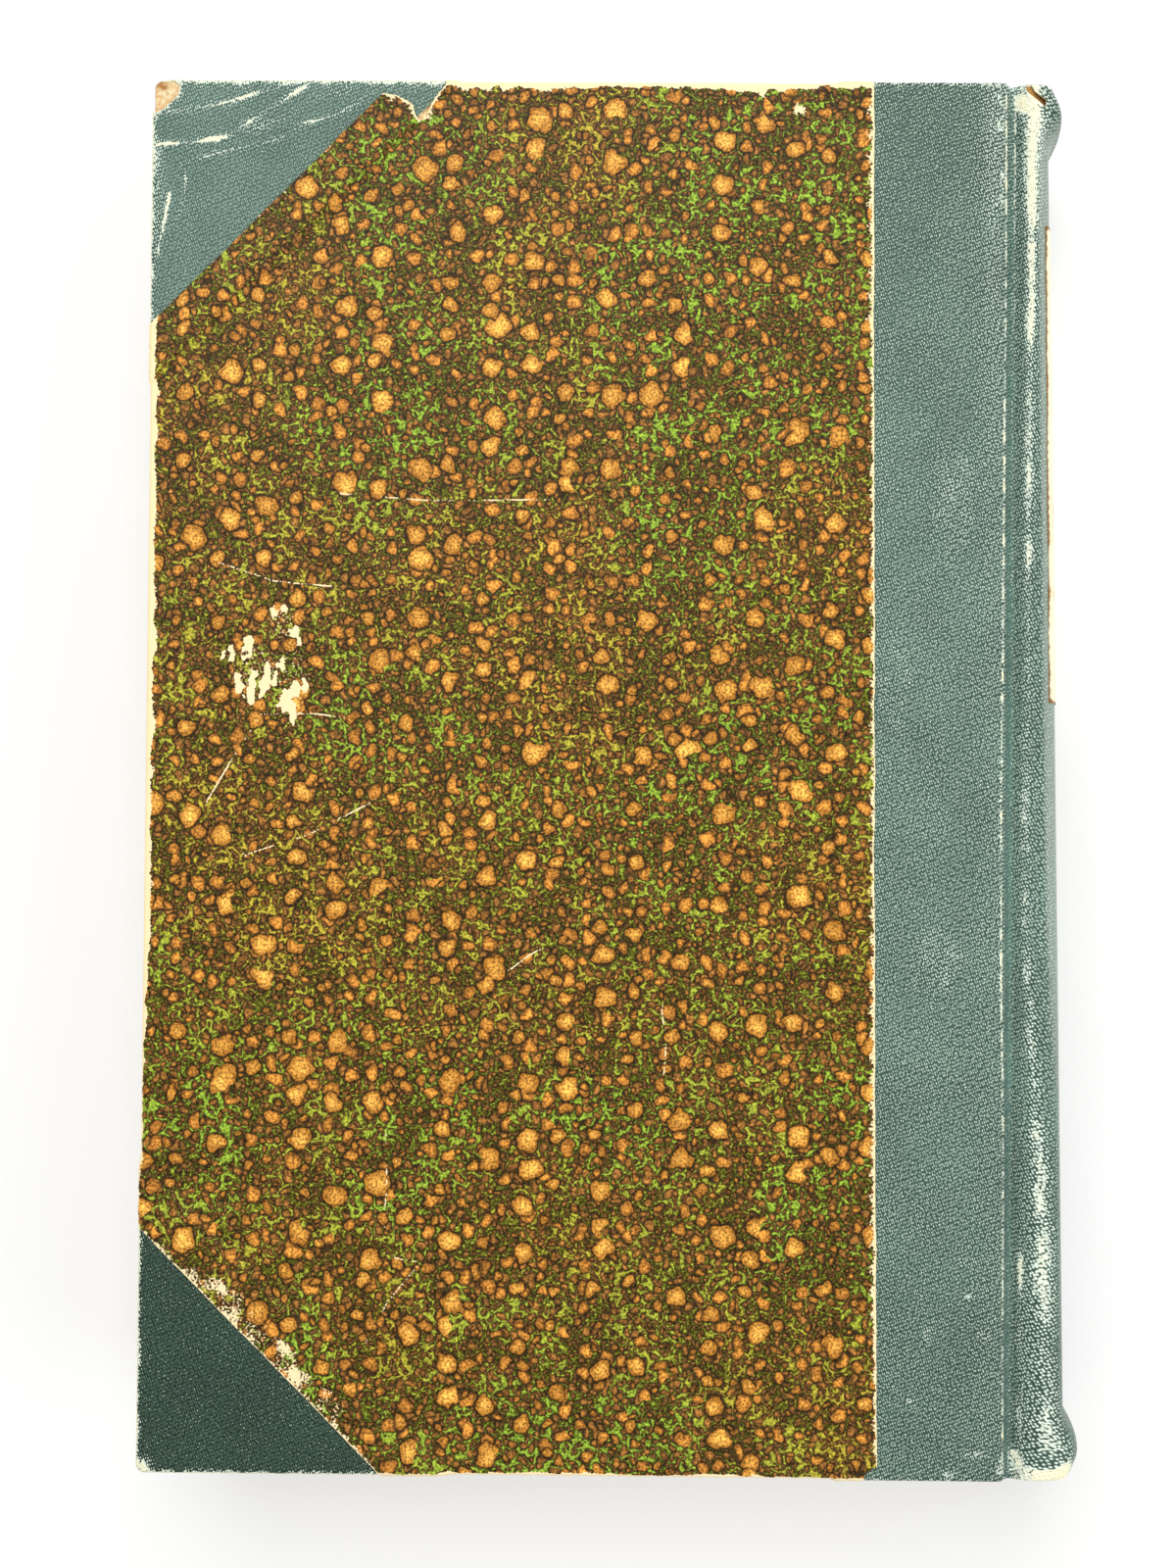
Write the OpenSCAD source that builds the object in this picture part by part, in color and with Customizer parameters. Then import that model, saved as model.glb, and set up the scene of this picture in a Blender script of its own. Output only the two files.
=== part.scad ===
// Half-bound book that lies on its front cover, back cover up. X runs towards the spine,
// Y towards the head and Z up. Sections are drawn about the middle leaf, with x = 0 where
// the leaves turn up into the shoulders, and place() then stands the book on z = 0.

/* [Leaves] */
// Height of the leaves, tail to head
leaf_h = 292; // [200:1:400]
// Width of the leaves, fore edge to the foot of the shoulder
leaf_w = 185; // [140:1:300]
// Thickness of all the leaves
block_t = 34; // [20:1:70]
// How far the back is rounded out
back_round = 2.5; // [2:0.1:8]
// How deep the fore edge is hollowed
fore_hollow = 4; // [1:0.1:7]
// Height of the shoulders over the leaves
shoulder_h = 1.5; // [1:0.1:2.2]
// How far the shoulders lean out behind the leaves
shoulder_run = 1.8; // [1.2:0.1:3]
// Thickness of an endpaper leaf
endpaper_t = 0.2; // [0.1:0.05:0.4]

/* [Boards] */
// Thickness of a board
board_t = 3; // [2:0.1:5]
// How far the boards stand out past the leaves
square_w = 3.5; // [2:0.1:6]
// Gap between a board and the foot of the shoulder
joint_w = 4.2; // [3.6:0.1:9]
// Corner radius of a board, seen from above
corner_r = 1.5; // [0.5:0.1:6]
// Rounding of a board's outer edge beside the joint
board_ease = 1; // [0.3:0.1:1.5]

/* [Covering] */
// Thickness of the pebbled bookcloth
cloth_t = 0.5; // [0.3:0.05:0.8]
// Thickness of the marbled side paper
paper_t = 0.2; // [0.1:0.05:0.3]
// Width of the cloth that shows on a board beside the joint
strip_w = 27.5; // [15:0.5:50]
// Leg of the cloth corner that shows, along either edge of the board
corner_leg = 53.3; // [30:0.1:80]
// How far the side paper laps over the cloth
lap_w = 8; // [2:0.1:10]
// Width of the turn-ins on the inside of a board
turn_in = 15; // [10:0.5:20]
// Length of the tear in the back cover's side paper, along the head edge
tear_w = 13; // [6:0.5:25]
// How far that tear runs in from the head edge
tear_d = 8.5; // [4:0.1:14]
// Distance of that tear from the fore edge of the board
tear_x = 52; // [40:1:100]

/* [Sewing and lining] */
// Width of a sewing tape
tape_w = 14; // [8:1:20]
// Thickness of a sewing tape
tape_t = 0.2; // [0.1:0.05:0.4]
// Distance between neighbouring tapes, middle to middle
tape_pitch = 58; // [30:1:70]
// Length of a tape's slip on the board
slip_l = 24; // [10:1:40]
// Thickness of the mull
mull_t = 0.2; // [0.1:0.05:0.4]
// Distance from the ends of the leaves to the ends of the mull
mull_drop = 17; // [15:1:30]
// Width of the mull's flange on the board
flange_w = 28; // [12:1:45]
// Thickness of the paper that lines the back
liner_t = 0.3; // [0.1:0.05:0.6]
// Thickness of the head and tail bands' beads
bead_d = 1.6; // [1:0.1:2.4]
// Depth of the bands' skirts on the back
skirt_h = 12; // [6:0.5:14]
// Thickness of the bands' skirts
skirt_t = 0.18; // [0.1:0.02:0.2]

/* [Hollow back] */
// Clear gap between the lining and the turned-in cloth
hollow_gap = 0.3; // [0.2:0.05:1.5]
// Thickness of the card inlay
inlay_t = 1; // [0.5:0.1:1.6]
// How much further the back stands off at the tail than at the head
back_lean = 4.2; // [0:0.1:5]
// How far the caps flare out
cap_flare = 3; // [0:0.1:4]
// Length of a flared cap
cap_l = 15; // [8:1:25]

/* [Label] */
// Length of the label along the back
label_h = 103; // [30:1:160]
// Width of the label round the back
label_w = 42; // [10:1:46]
// Distance of the label from the head end of the cloth
label_drop = 31; // [20:1:60]
// Thickness of the label
label_t = 0.2; // [0.1:0.05:0.4]

/* [Hidden] */

cloth_colour = "#5f7a6c";
paper_colour = "#8a6a36";
leaf_colour = "#e9dfc4";
tapes = 4;
hinge_gap = 0.3; // between the cloth of a cover and the cloth of the back
glue_gap = 0.1; // round the inlay and under the cloth of the flank
fold_gap = 0.12; // between the two layers of a fold
groove_flat = 1; // level floor of the joint groove
far = 1000; // longer than any book, for cutting

// Levels over the middle leaf
half_t = block_t / 2;
fly_z = half_t + endpaper_t;
inner_z = fly_z + endpaper_t + cloth_t + paper_t; // a board's inner face
outer_z = inner_z + board_t; // a board's outer face
cloth_z = outer_z + cloth_t;
half_all = cloth_z + paper_t;
groove_z = inner_z + cloth_t; // floor of the joint groove

// Outline of a board
board_h = leaf_h + 2 * square_w;
fore_x = -leaf_w - square_w;
edge_x = -joint_w;
lap_x = edge_x - strip_w; // where the side paper ends
hid_x = lap_x - lap_w; // where the cloth ends under it
hid_leg = corner_leg + lap_w * sqrt(2);

// The back's round: tip of the shoulder, centre and radius of the arc, and slope of the flank
tip = [shoulder_run, half_t + shoulder_h];
back_r = (tip.y * tip.y + back_round * back_round) / (2 * back_round);
back_c = [tip.x + back_round - back_r, 0];
back_a = asin(tip.y / back_r);
flank_a = atan2(shoulder_h, shoulder_run);
arc_n = 20; // steps round the back
tip_n = 8; // steps round a shoulder

// Layers on the back, as distances from the leaves
mull_d = tape_t + mull_t;
liner_d = mull_d + liner_t;
inlay_d = liner_d + hollow_gap + cloth_t;
back_d = inlay_d + inlay_t + 2 * glue_gap; // inner side of the cloth round the back
flank_d = max(cloth_t + fold_gap, mull_d) + glue_gap / 2; // inner side of the cloth on the flank

// Slope of the joint groove's wall, from the board's eased edge down to the floor
hinge_x = flank_x(flank_d + cloth_t + hinge_gap, fly_z);
groove_end = flank_x(flank_d + cloth_t + hinge_gap, groove_z);
groove_a = atan2(cloth_z - groove_z, groove_end - edge_x - groove_flat);
ease_c = [edge_x - board_ease, outer_z - board_ease];
ease_n = 6;

// Rows of the hollow back along Y, close together in the caps
end_y = board_h / 2 + cloth_t;
cap_rows = [for (i = [1:6]) end_y - cap_l * i / 6];
rows = [
    for (y = cap_rows) y,
    for (i = [1:8]) (end_y - cap_l) * (1 - i / 4.5),
    for (i = [6:-1:1]) -cap_rows[i - 1]
];

function arc(c, r, a0, a1, n) = [for (i = [0:n]) c + r * turn(a0 + (a1 - a0) * i / n)];
function turn(a) = [cos(a), sin(a)];
function flip(pts) = [for (i = [len(pts) - 1:-1:0]) [pts[i].x, -pts[i].y]];
function back(pts) = [for (i = [len(pts) - 1:-1:0]) pts[i]];
function smooth(q) = let (t = min(max(q, 0), 1)) t * t * (3 - 2 * t);

// x of the flank at height z, on the layer at distance d from the leaves
function flank_x(d, z) = tip.x - d * sin(flank_a) - (tip.y + d * cos(flank_a) - z) / tan(flank_a);

// Line round the back at distance d, from the upper foot at height z to the lower one
function shoulder(d, z) = concat([[flank_x(d, z), z]], arc(tip, d, 90 + flank_a, back_a, tip_n));
function back_arc(d) = arc(back_c, back_r + d, back_a, -back_a, arc_n);
function back_line(d, z) = concat(
    shoulder(d, z),
    [for (i = [1:arc_n - 1]) back_arc(d)[i]],
    flip(shoulder(d, z))
);
function layer(d0, d1, z) = concat(back_line(d1, z), back(back_line(d0, z)));

// Stations of the hollow back: two on the flank, then round the shoulder, then the arc
flank_n = 1;
last_k = 2 * (flank_n + tip_n) + arc_n;
arc_k = flank_n + tip_n;
function side_k(k) = min(k, last_k - k); // station counted from the nearer foot
function rise_k(k) = smooth((side_k(k) - flank_n) / tip_n); // 0 on the flank, 1 on the arc
function pull_k(k) = smooth((side_k(k) - flank_n) / (tip_n + 2)); // share of the lean and flare
function inlay_k(k) = max((inlay_t + 2 * glue_gap) * rise_k(k), fold_gap);
function flare(y) = let (t = end_y - abs(y))
    cap_flare * (1 + cos(180 * min(max(t / cap_l - 0.4, -0.4) / 0.6, 1))) / 2;
function pull(y) = back_lean * (end_y - y) / (2 * end_y) + flare(y);

// Point of the hollow back at station k, depth v outwards from the cloth's inner side, and y
function hollow_pt(k, v, y) = let (
    s = side_k(k),
    d = flank_d + (back_d - flank_d) * rise_k(k) + v,
    a = 90 + flank_a + (back_a - 90 - flank_a) * (s - flank_n) / tip_n,
    p = s == 0 ? [flank_x(d, fly_z), fly_z]
        : s <= arc_k ? tip + d * turn(a)
        : back_c + (back_r + d) * turn(back_a * (1 - 2 * (s - arc_k) / arc_n)),
    x = p.x + pull(y) * pull_k(k)
) [x, y, k * 2 > last_k ? -p.y : p.y];

// A strip of the hollow back: rings of paired outer and inner [v, y] points, station by station
module hollow_strip(k0, k1, outer, inner) {
    m = len(outer(k0));
    ring = 2 * m;
    pts = [
        for (k = [k0:k1]) for (q = concat(outer(k), back(inner(k)))) hollow_pt(k, q.x, q.y)
    ];
    sides = [
        for (k = [0:k1 - k0 - 1], i = [0:ring - 1])
            let (a = k * ring + i, b = k * ring + (i + 1) % ring)
            each [[a, a + ring, b], [b, a + ring, b + ring]]
    ];
    ends = [
        for (e = [0, (k1 - k0) * ring], i = [0:m - 2])
            let (a = e + i, b = e + i + 1, c = e + ring - 2 - i, d = e + ring - 1 - i)
            each e == 0 ? [[a, b, c], [a, c, d]] : [[a, c, b], [a, d, c]]
    ];
    polyhedron(points = pts, faces = concat(sides, ends));
}

// Stands the book on z = 0 with its middle over the origin
wrap_x = fore_x - cloth_t - paper_t;
spine_x = max([for (y = rows) hollow_pt(last_k / 2, cloth_t, y).x]);
mid_x = (wrap_x + spine_x) / 2;
module place() {
    translate([-mid_x, 0, half_all]) children();
}

// A section in the XZ plane, drawn out along Y from y0 to y1
module drawn(pts, y0, y1) {
    translate([0, y1, 0]) rotate([90, 0, 0]) linear_extrude(y1 - y0) polygon(pts);
}

// A plan in the XY plane, raised from z0 to z1
module raised(z0, z1) {
    translate([0, 0, z0]) linear_extrude(z1 - z0) children();
}

// Leaves and endpapers

module text_block() {
    fore_r = (half_t * half_t + fore_hollow * fore_hollow) / (2 * fore_hollow);
    fore_a = asin(half_t / fore_r);
    fore_c = [fore_hollow - leaf_w - fore_r, 0];
    section = concat(back_line(0, half_t), arc(fore_c, fore_r, -fore_a, fore_a, 12));
    color(leaf_colour) place() drawn(section, -leaf_h / 2, leaf_h / 2);
}

module flyleaf(side) {
    color(leaf_colour) place() mirror([0, 0, side]) raised(half_t, fly_z)
        translate([-leaf_w, -leaf_h / 2]) square([leaf_w, leaf_h]);
}

// Sewing and lining of the back

module sewing_tape(i) {
    y = tape_y(i);
    color("#d8cdae") place() drawn(layer(0, tape_t, fly_z), y - tape_w / 2, y + tape_w / 2);
}
function tape_y(i) = (i - (tapes - 1) / 2) * tape_pitch;

module spine_mull() {
    end = leaf_h / 2 - mull_drop;
    color("#cfc6ac") place() drawn(layer(tape_t, mull_d, fly_z), -end, end);
}

// A stuck-on band: a bead over the ends of the leaves, with a skirt down the back
module end_band(side) {
    bead_r = bead_d / 2;
    half_a = back_a - asin(bead_d / back_r); // ends short of the shoulders
    color("#c7b27a") place() mirror([0, side, 0]) translate([back_c.x, leaf_h / 2, 0])
        rotate([-90, 0, 0]) rotate([0, 0, -half_a]) rotate_extrude(angle = 2 * half_a) {
            translate([back_r - bead_r + skirt_t, bead_r]) circle(bead_r, $fn = 24);
            translate([back_r, -skirt_h]) square([skirt_t, skirt_h + bead_r]);
        }
}

module spine_liner() {
    section = concat(back_arc(liner_d), back(back_arc(mull_d)));
    color("#b08f5e") place() drawn(section, -leaf_h / 2, leaf_h / 2);
}

// Hollow back

module spine_inlay() {
    v = -glue_gap;
    ends = [board_h / 2 - glue_gap, glue_gap - board_h / 2];
    ys = concat([ends[0]], [for (y = rows) if (abs(y) < ends[0]) y], [ends[1]]);
    outer = function(k) [for (y = ys) [v, y]];
    inner = function(k) [for (y = ys) [v - inlay_t, y]];
    color("#a58a63") place() hollow_strip(arc_k, last_k - arc_k, outer, inner);
}

// The cloth: turned in at both ends over the inlay, in one strip that runs from the turn-in
// at the head over the rounded fold, down the back, and round the fold at the tail
module spine_cloth() {
    fold_n = 4;
    fold_y = end_y - cloth_t;
    turn_y = end_y - turn_in;
    outer = function(k) let (
        low = -inlay_k(k) - cloth_t,
        r = (cloth_t - low) / 2,
        fold = [
            for (a = [0:180 / fold_n:180]) [low + r - r * cos(a), fold_y + cloth_t * sin(a)]
        ]
    ) concat([[low, turn_y]], fold, [for (y = rows) [cloth_t, y]], [for (p = back(fold)) [p.x, -p.y]],
        [[low, -turn_y]]);
    inner = function(k) let (
        low = -inlay_k(k),
        fold = [
            for (a = [0:180 / fold_n:180]) [low * (1 - a / 180), fold_y + fold_gap / 2 * sin(a)]
        ]
    ) concat([[low, turn_y]], fold, [for (y = rows) [0, y]], [for (p = back(fold)) [p.x, -p.y]],
        [[low, -turn_y]]);
    color(cloth_colour) place() hollow_strip(0, last_k, outer, inner);
}

// Stuck over the back, and past the shoulders' tips where it is wider than the back
module spine_label() {
    step = 2 * back_a / arc_n * (back_r + back_d) * PI / 180;
    tip_step = (90 + flank_a - back_a) / tip_n * (back_d + cloth_t) * PI / 180;
    past = max(label_w / 2 - step * arc_n / 2, 0);
    n = max(round((label_w / 2 - past) / step), 1) + round(past / tip_step);
    top = end_y - label_drop;
    ys = concat([top], [for (y = rows) if (y < top && y > top - label_h) y], [top - label_h]);
    under = cloth_t + glue_gap;
    outer = function(k) [for (y = ys) [under + label_t, y]];
    inner = function(k) [for (y = ys) [under, y]];
    color("#f3ecc8") place() hollow_strip(last_k / 2 - n, last_k / 2 + n, outer, inner);
}

// Plans of a cover's pieces; each drawing is for the back cover, and the front one mirrors it

// A board's outline, grown by g on its three outer edges
module board_plan(g) {
    r = corner_r + g;
    x = fore_x + corner_r;
    y = board_h / 2 - corner_r;
    spine_edge = [[edge_x, y + r], [edge_x, -y - r]];
    polygon(concat(arc([x, y], r, 180, 90, 6), spine_edge, arc([x, -y], r, 270, 180, 6)));
}

// The corner cut off by a leg of the given length, at the head or the tail (end 1 or -1)
module corner_plan(leg, end) {
    y = end * board_h / 2;
    out = far / 10;
    polygon([
        [fore_x + leg + out, y + end * out],
        [fore_x - out, y - end * (leg + out)],
        [fore_x - out, y + end * out]
    ]);
}

// What lies spinewards of x
module spine_side(x) {
    translate([x, -far / 2]) square([far, far]);
}

// The plan of the side paper where both cloths have their edges drawn back by g from the hidden ones
module clear_plan(leg, x, g) {
    difference() {
        translate([-far / 2, -far / 2]) square([far / 2 + x - g, far]);
        corner_plan(leg + g * sqrt(2), 1);
        corner_plan(leg + g * sqrt(2), -1);
    }
}

// The inside of a board that the turn-ins leave bare, shrunk by g
module bare_plan(g) {
    y = board_h / 2 - turn_in - g;
    x = fore_x + turn_in + g;
    translate([x, -y]) square([far, 2 * y]);
}

// The wrap of a sheet round the board, between distances d0 and d1 from it, open on the inside
module wrap(d0, d1) {
    difference() {
        raised(inner_z - d1, outer_z + d1) board_plan(d1);
        raised(inner_z - d0, outer_z + d0) board_plan(d0);
        raised(0, inner_z + board_t / 2) bare_plan(0);
    }
}

// A cover's pieces, drawn for the back cover

module board_shape() {
    out_x = fore_x - 1;
    upper = arc(ease_c, board_ease, 90, 90 - groove_a, ease_n);
    lower = arc(ease_c, board_ease, 90 - groove_a, 0, ease_n);
    section = concat([[out_x, inner_z], [out_x, outer_z]], upper, lower, [[edge_x, inner_z]]);
    intersection() {
        raised(inner_z, outer_z) board_plan(0);
        drawn(section, -board_h / 2, board_h / 2);
    }
}

// The strip's section runs over the board's eased edge, slopes into the groove and ends at the flank
module strip_shape() {
    end_low = flank_x(flank_d + cloth_t + hinge_gap, inner_z);
    top_arc = arc(ease_c, board_ease + cloth_t, 90, 90 - groove_a, ease_n);
    low_arc = arc(ease_c, board_ease, 90, 90 - groove_a, ease_n);
    top_x = top_arc[ease_n].x + (top_arc[ease_n].y - groove_z) / tan(groove_a);
    low_x = low_arc[ease_n].x + (low_arc[ease_n].y - inner_z) / tan(groove_a);
    top = concat([[hid_x, cloth_z]], top_arc, [[top_x, groove_z], [groove_end, groove_z]]);
    low = concat([[hid_x, outer_z]], low_arc, [[low_x, inner_z], [end_low, inner_z]]);
    hem_z = inner_z - cloth_t;
    drawn(concat(top, back(low)), -end_y, end_y);
    for (end = [0, 1]) mirror([0, end, 0]) {
        drawn(concat(top, [[end_low, inner_z], [hinge_x, inner_z], [hinge_x, hem_z], [hid_x, hem_z]]),
            board_h / 2, end_y);
        drawn([[hid_x, inner_z], [hinge_x, inner_z], [hinge_x, hem_z], [hid_x, hem_z]],
            board_h / 2 - turn_in, end_y);
    }
}

module corner_shape(end) {
    intersection() {
        wrap(0, cloth_t);
        raised(0, far) corner_plan(hid_leg, end);
    }
}

// On the board, up the step at the cloth's hidden edges, and over the cloth as far as the lap reaches
module side_paper_shape() {
    intersection() {
        wrap(0, paper_t);
        raised(0, far) clear_plan(hid_leg, hid_x, 0);
    }
    intersection() {
        wrap(0, cloth_t + paper_t);
        raised(0, far) difference() {
            clear_plan(hid_leg, hid_x, 0);
            clear_plan(hid_leg, hid_x, paper_t);
        }
    }
    intersection() {
        wrap(cloth_t, cloth_t + paper_t);
        raised(0, far) difference() {
            clear_plan(corner_leg, lap_x, 0);
            clear_plan(hid_leg, hid_x, paper_t);
        }
    }
}

// The torn notch: a lip beside the corner, the bottom of the tear, and its long far side
module tear_cut() {
    x = fore_x + tear_x;
    y = board_h / 2;
    out = y + cloth_t + 2 * paper_t;
    raised(outer_z - board_t / 2, far) polygon([
        [x, out],
        [x, y - tear_d * 0.35],
        [x + tear_w * 0.3, y - tear_d * 0.7],
        [x + tear_w * 0.45, y - tear_d],
        [x + tear_w * 0.75, y - tear_d * 0.45],
        [x + tear_w, y - tear_d * 0.05],
        [x + tear_w * 1.05, out]
    ]);
}

module slips_shape() {
    for (i = [0:tapes - 1]) raised(inner_z - tape_t, inner_z)
        translate([edge_x - slip_l, tape_y(i) - tape_w / 2]) square([hinge_x - edge_x + slip_l, tape_w]);
}

module flange_plan(g) {
    y = leaf_h / 2 - mull_drop + g;
    translate([edge_x - flange_w - g, -y]) square([far, 2 * y]);
}

module flange_shape() {
    raised(inner_z - mull_d, inner_z - tape_t) intersection() {
        flange_plan(0);
        translate([-far + hinge_x, -far / 2]) square([far, far]);
    }
}

// What the pastedown lies on, each level drawn g wider and g deeper
module levels(g) {
    raised(inner_z - paper_t - g, inner_z) difference() {
        board_plan(0);
        bare_plan(g);
    }
    raised(inner_z - cloth_t - g, inner_z) difference() {
        union() {
            corner_plan(hid_leg + g * sqrt(2), 1);
            corner_plan(hid_leg + g * sqrt(2), -1);
            spine_side(hid_x - g);
        }
        bare_plan(g);
    }
    raised(inner_z - cloth_t - paper_t - g, inner_z) difference() {
        clear_plan(corner_leg - g * sqrt(2), lap_x + g, 0);
        clear_plan(hid_leg, hid_x, g + paper_t);
        bare_plan(g);
    }
    raised(inner_z - mull_d - g, inner_z) flange_plan(g);
}

module pastedown_shape() {
    intersection() {
        difference() {
            union() {
                levels(endpaper_t);
                raised(inner_z - endpaper_t, inner_z) translate([fore_x, -far / 2]) square([far, far]);
            }
            levels(0);
        }
        raised(0, far) translate([-leaf_w, -leaf_h / 2]) square([leaf_w + hinge_x, leaf_h]);
    }
}

// The two covers: side 0 is the back cover, side 1 the front cover

module board(side) {
    color("#a8875a") place() mirror([0, 0, side]) board_shape();
}

module strip(side) {
    color(cloth_colour) place() mirror([0, 0, side]) strip_shape();
}

module corner(side, end) {
    color(cloth_colour) place() mirror([0, 0, side]) corner_shape(end);
}

module side_paper(side) {
    color(paper_colour) place() mirror([0, 0, side]) difference() {
        side_paper_shape();
        if (side == 0) tear_cut();
    }
}

module tape_slips(side) {
    color("#d8cdae") place() mirror([0, 0, side]) slips_shape();
}

module mull_flange(side) {
    color("#cfc6ac") place() mirror([0, 0, side]) flange_shape();
}

module pastedown(side) {
    color(leaf_colour) place() mirror([0, 0, side]) pastedown_shape();
}

text_block();
flyleaf(0);  // back_flyleaf
flyleaf(1);  // front_flyleaf
sewing_tape(0);  // sewing_tape_1
sewing_tape(1);  // sewing_tape_2
sewing_tape(2);  // sewing_tape_3
sewing_tape(3);  // sewing_tape_4
spine_mull();
end_band(0);  // head_band
end_band(1);  // tail_band
spine_liner();
spine_inlay();
spine_cloth();
spine_label();
board(0);  // back_board
strip(0);  // back_strip
corner(0, 1);  // back_head_corner
corner(0, -1);  // back_tail_corner
side_paper(0);  // back_side_paper
tape_slips(0);  // back_tape_slips
mull_flange(0);  // back_mull_flange
pastedown(0);  // back_pastedown
board(1);  // front_board
strip(1);  // front_strip
corner(1, 1);  // front_head_corner
corner(1, -1);  // front_tail_corner
side_paper(1);  // front_side_paper
tape_slips(1);  // front_tape_slips
mull_flange(1);  // front_mull_flange
pastedown(1);  // front_pastedown
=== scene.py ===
import math
import bpy
import numpy as np
from mathutils import Matrix, Vector
from mathutils.geometry import delaunay_2d_cdt


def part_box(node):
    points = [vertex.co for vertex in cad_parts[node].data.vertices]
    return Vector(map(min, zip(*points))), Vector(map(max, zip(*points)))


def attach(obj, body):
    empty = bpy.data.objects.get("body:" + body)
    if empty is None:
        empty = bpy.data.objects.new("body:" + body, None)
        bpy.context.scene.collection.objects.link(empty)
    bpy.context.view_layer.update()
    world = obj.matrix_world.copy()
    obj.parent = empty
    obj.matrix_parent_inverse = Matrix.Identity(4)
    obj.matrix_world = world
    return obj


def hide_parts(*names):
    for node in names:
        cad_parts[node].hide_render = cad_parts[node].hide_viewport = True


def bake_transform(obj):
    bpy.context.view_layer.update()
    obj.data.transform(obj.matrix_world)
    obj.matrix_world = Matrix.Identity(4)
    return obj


# A half-bound book that lies on its front cover. Lengths are millimetres in the frame's
# directions (x to the spine, y to the head, z up) until a mesh is made.

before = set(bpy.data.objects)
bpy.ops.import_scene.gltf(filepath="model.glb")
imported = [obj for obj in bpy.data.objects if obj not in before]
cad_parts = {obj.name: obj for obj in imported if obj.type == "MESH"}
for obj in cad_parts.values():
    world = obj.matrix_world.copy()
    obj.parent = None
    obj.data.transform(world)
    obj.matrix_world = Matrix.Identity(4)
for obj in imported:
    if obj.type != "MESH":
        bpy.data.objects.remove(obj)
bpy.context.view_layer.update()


def cadPlace(node):
    return [np.array(corner) * 1000 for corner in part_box(node)]


boardLow, boardHigh = cadPlace("back_board")
leavesLow, leavesHigh = cadPlace("text_block")
flyLow, flyHigh = cadPlace("back_flyleaf")
footX = flyHigh[0]  # foot of the shoulders
midZ = (leavesLow[2] + leavesHigh[2]) / 2
foreX, edgeX = boardLow[0], boardHigh[0]  # fore edge and joint edge of a board
boardHalf = boardHigh[1]
innerZ, outerZ = boardLow[2], boardHigh[2]
bookHeight = 2 * midZ
print("frame loaded, boards", round(2 * boardHalf, 1), "mm high")

covering = {
    "cloth": 0.5,
    "paper": 0.2,
    "edgeRound": 0.4,  # rounding of a board's cut edges
    "cornerRound": 1.5,  # rounding of its corners, seen from above
    "turnIn": 15,
    "cornerLeg": 53.3,  # leg of the cloth corner that shows
    "hiddenLeg": 64.6,  # its leg under the paper
    "stripStart": 47.6,  # where the spine's cloth ends under the paper
    "paperEnd": 55.3,  # where the paper ends over it
    "step": 1.5,  # how far before the cloth's cut edge the paper starts to climb it
}
cloth, paper = covering["cloth"], covering["paper"]
boardThickness = outerZ - innerZ
bendStart = boardHalf - covering["edgeRound"]  # where a sheet starts to bend over head or tail
foreBend = foreX + covering["edgeRound"]


# 0 below 0, 1 above 1, and an eased step between
def smooth(value):
    t = np.clip(value, 0, 1)
    return t * t * (3 - 2 * t)


# The same line with a point at every pitch, its own corners kept
def resample(points, pitch):
    points = np.array(points, float)
    reach = np.concatenate([[0], np.cumsum(np.hypot(*np.diff(points, axis=0).T))])
    count = max(int(round(reach[-1] / pitch)), 1)
    marks = np.sort(np.concatenate([np.linspace(0, reach[-1], count + 1), reach[1:-1]]))
    marks = marks[np.concatenate([[True], np.diff(marks) > pitch * 0.15])]
    return np.stack([np.interp(marks, reach, points[:, i]) for i in (0, 1)], 1)


# A torn or hand-cut edge: the line wanders off by about the given amount
def ragged(points, pitch, wander, seed):
    line = resample(points, pitch)
    chance = np.random.default_rng(seed)
    rough = chance.normal(size=len(line) + 8)
    slow = np.convolve(rough, np.ones(9) / 3, "valid")
    step = np.gradient(line, axis=0)
    step /= np.hypot(*step.T)[:, None]
    offset = wander * (0.7 * slow + 0.5 * rough[4:-4])
    offset[[0, -1]] = 0
    return line + offset[:, None] * np.stack([-step[:, 1], step[:, 0]], 1)


def cornersOf(low, high):
    return [(low[0], low[1]), (high[0], low[1]), (high[0], high[1]), (low[0], high[1])]


# A closed rectangle's outline, with its own pitch along each pair of sides
def rectangle(low, high, pitchU, pitchV):
    corners = cornersOf(low, high)
    sides = zip(corners, corners[1:] + corners[:1], (pitchU, pitchV) * 2)
    return np.concatenate([resample([start, end], pitch)[:-1] for start, end, pitch in sides])


def distanceTo(line, u, v):
    line = np.array(line, float)
    nearest = np.full(np.shape(u), 1e9)
    for (ax, ay), (bx, by) in zip(line[:-1], line[1:]):
        size = (bx - ax) ** 2 + (by - ay) ** 2 + 1e-12
        t = np.clip(((u - ax) * (bx - ax) + (v - ay) * (by - ay)) / size, 0, 1)
        nearest = np.minimum(nearest, np.hypot(u - ax - t * (bx - ax), v - ay - t * (by - ay)))
    return nearest


# 1 on a line, and less away from it
def fading(distance, width):
    return np.exp(-(distance / width) ** 2)


# How far a point lies along and across a slanted mark from its middle
def turned(u, v, middle, slant):
    turn = math.radians(slant)
    along = (u - middle[0]) * math.cos(turn) + (v - middle[1]) * math.sin(turn)
    across = (v - middle[1]) * math.cos(turn) - (u - middle[0]) * math.sin(turn)
    return along, across


def isInside(shape, u, v):
    shape = np.array(shape, float)
    odd = np.zeros(np.shape(u), bool)
    for (ax, ay), (bx, by) in zip(shape, np.roll(shape, -1, axis=0)):
        if ay != by:
            crosses = ((ay > v) != (by > v)) & (u < ax + (v - ay) * (bx - ax) / (by - ay))
            odd ^= crosses
    return odd


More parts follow.
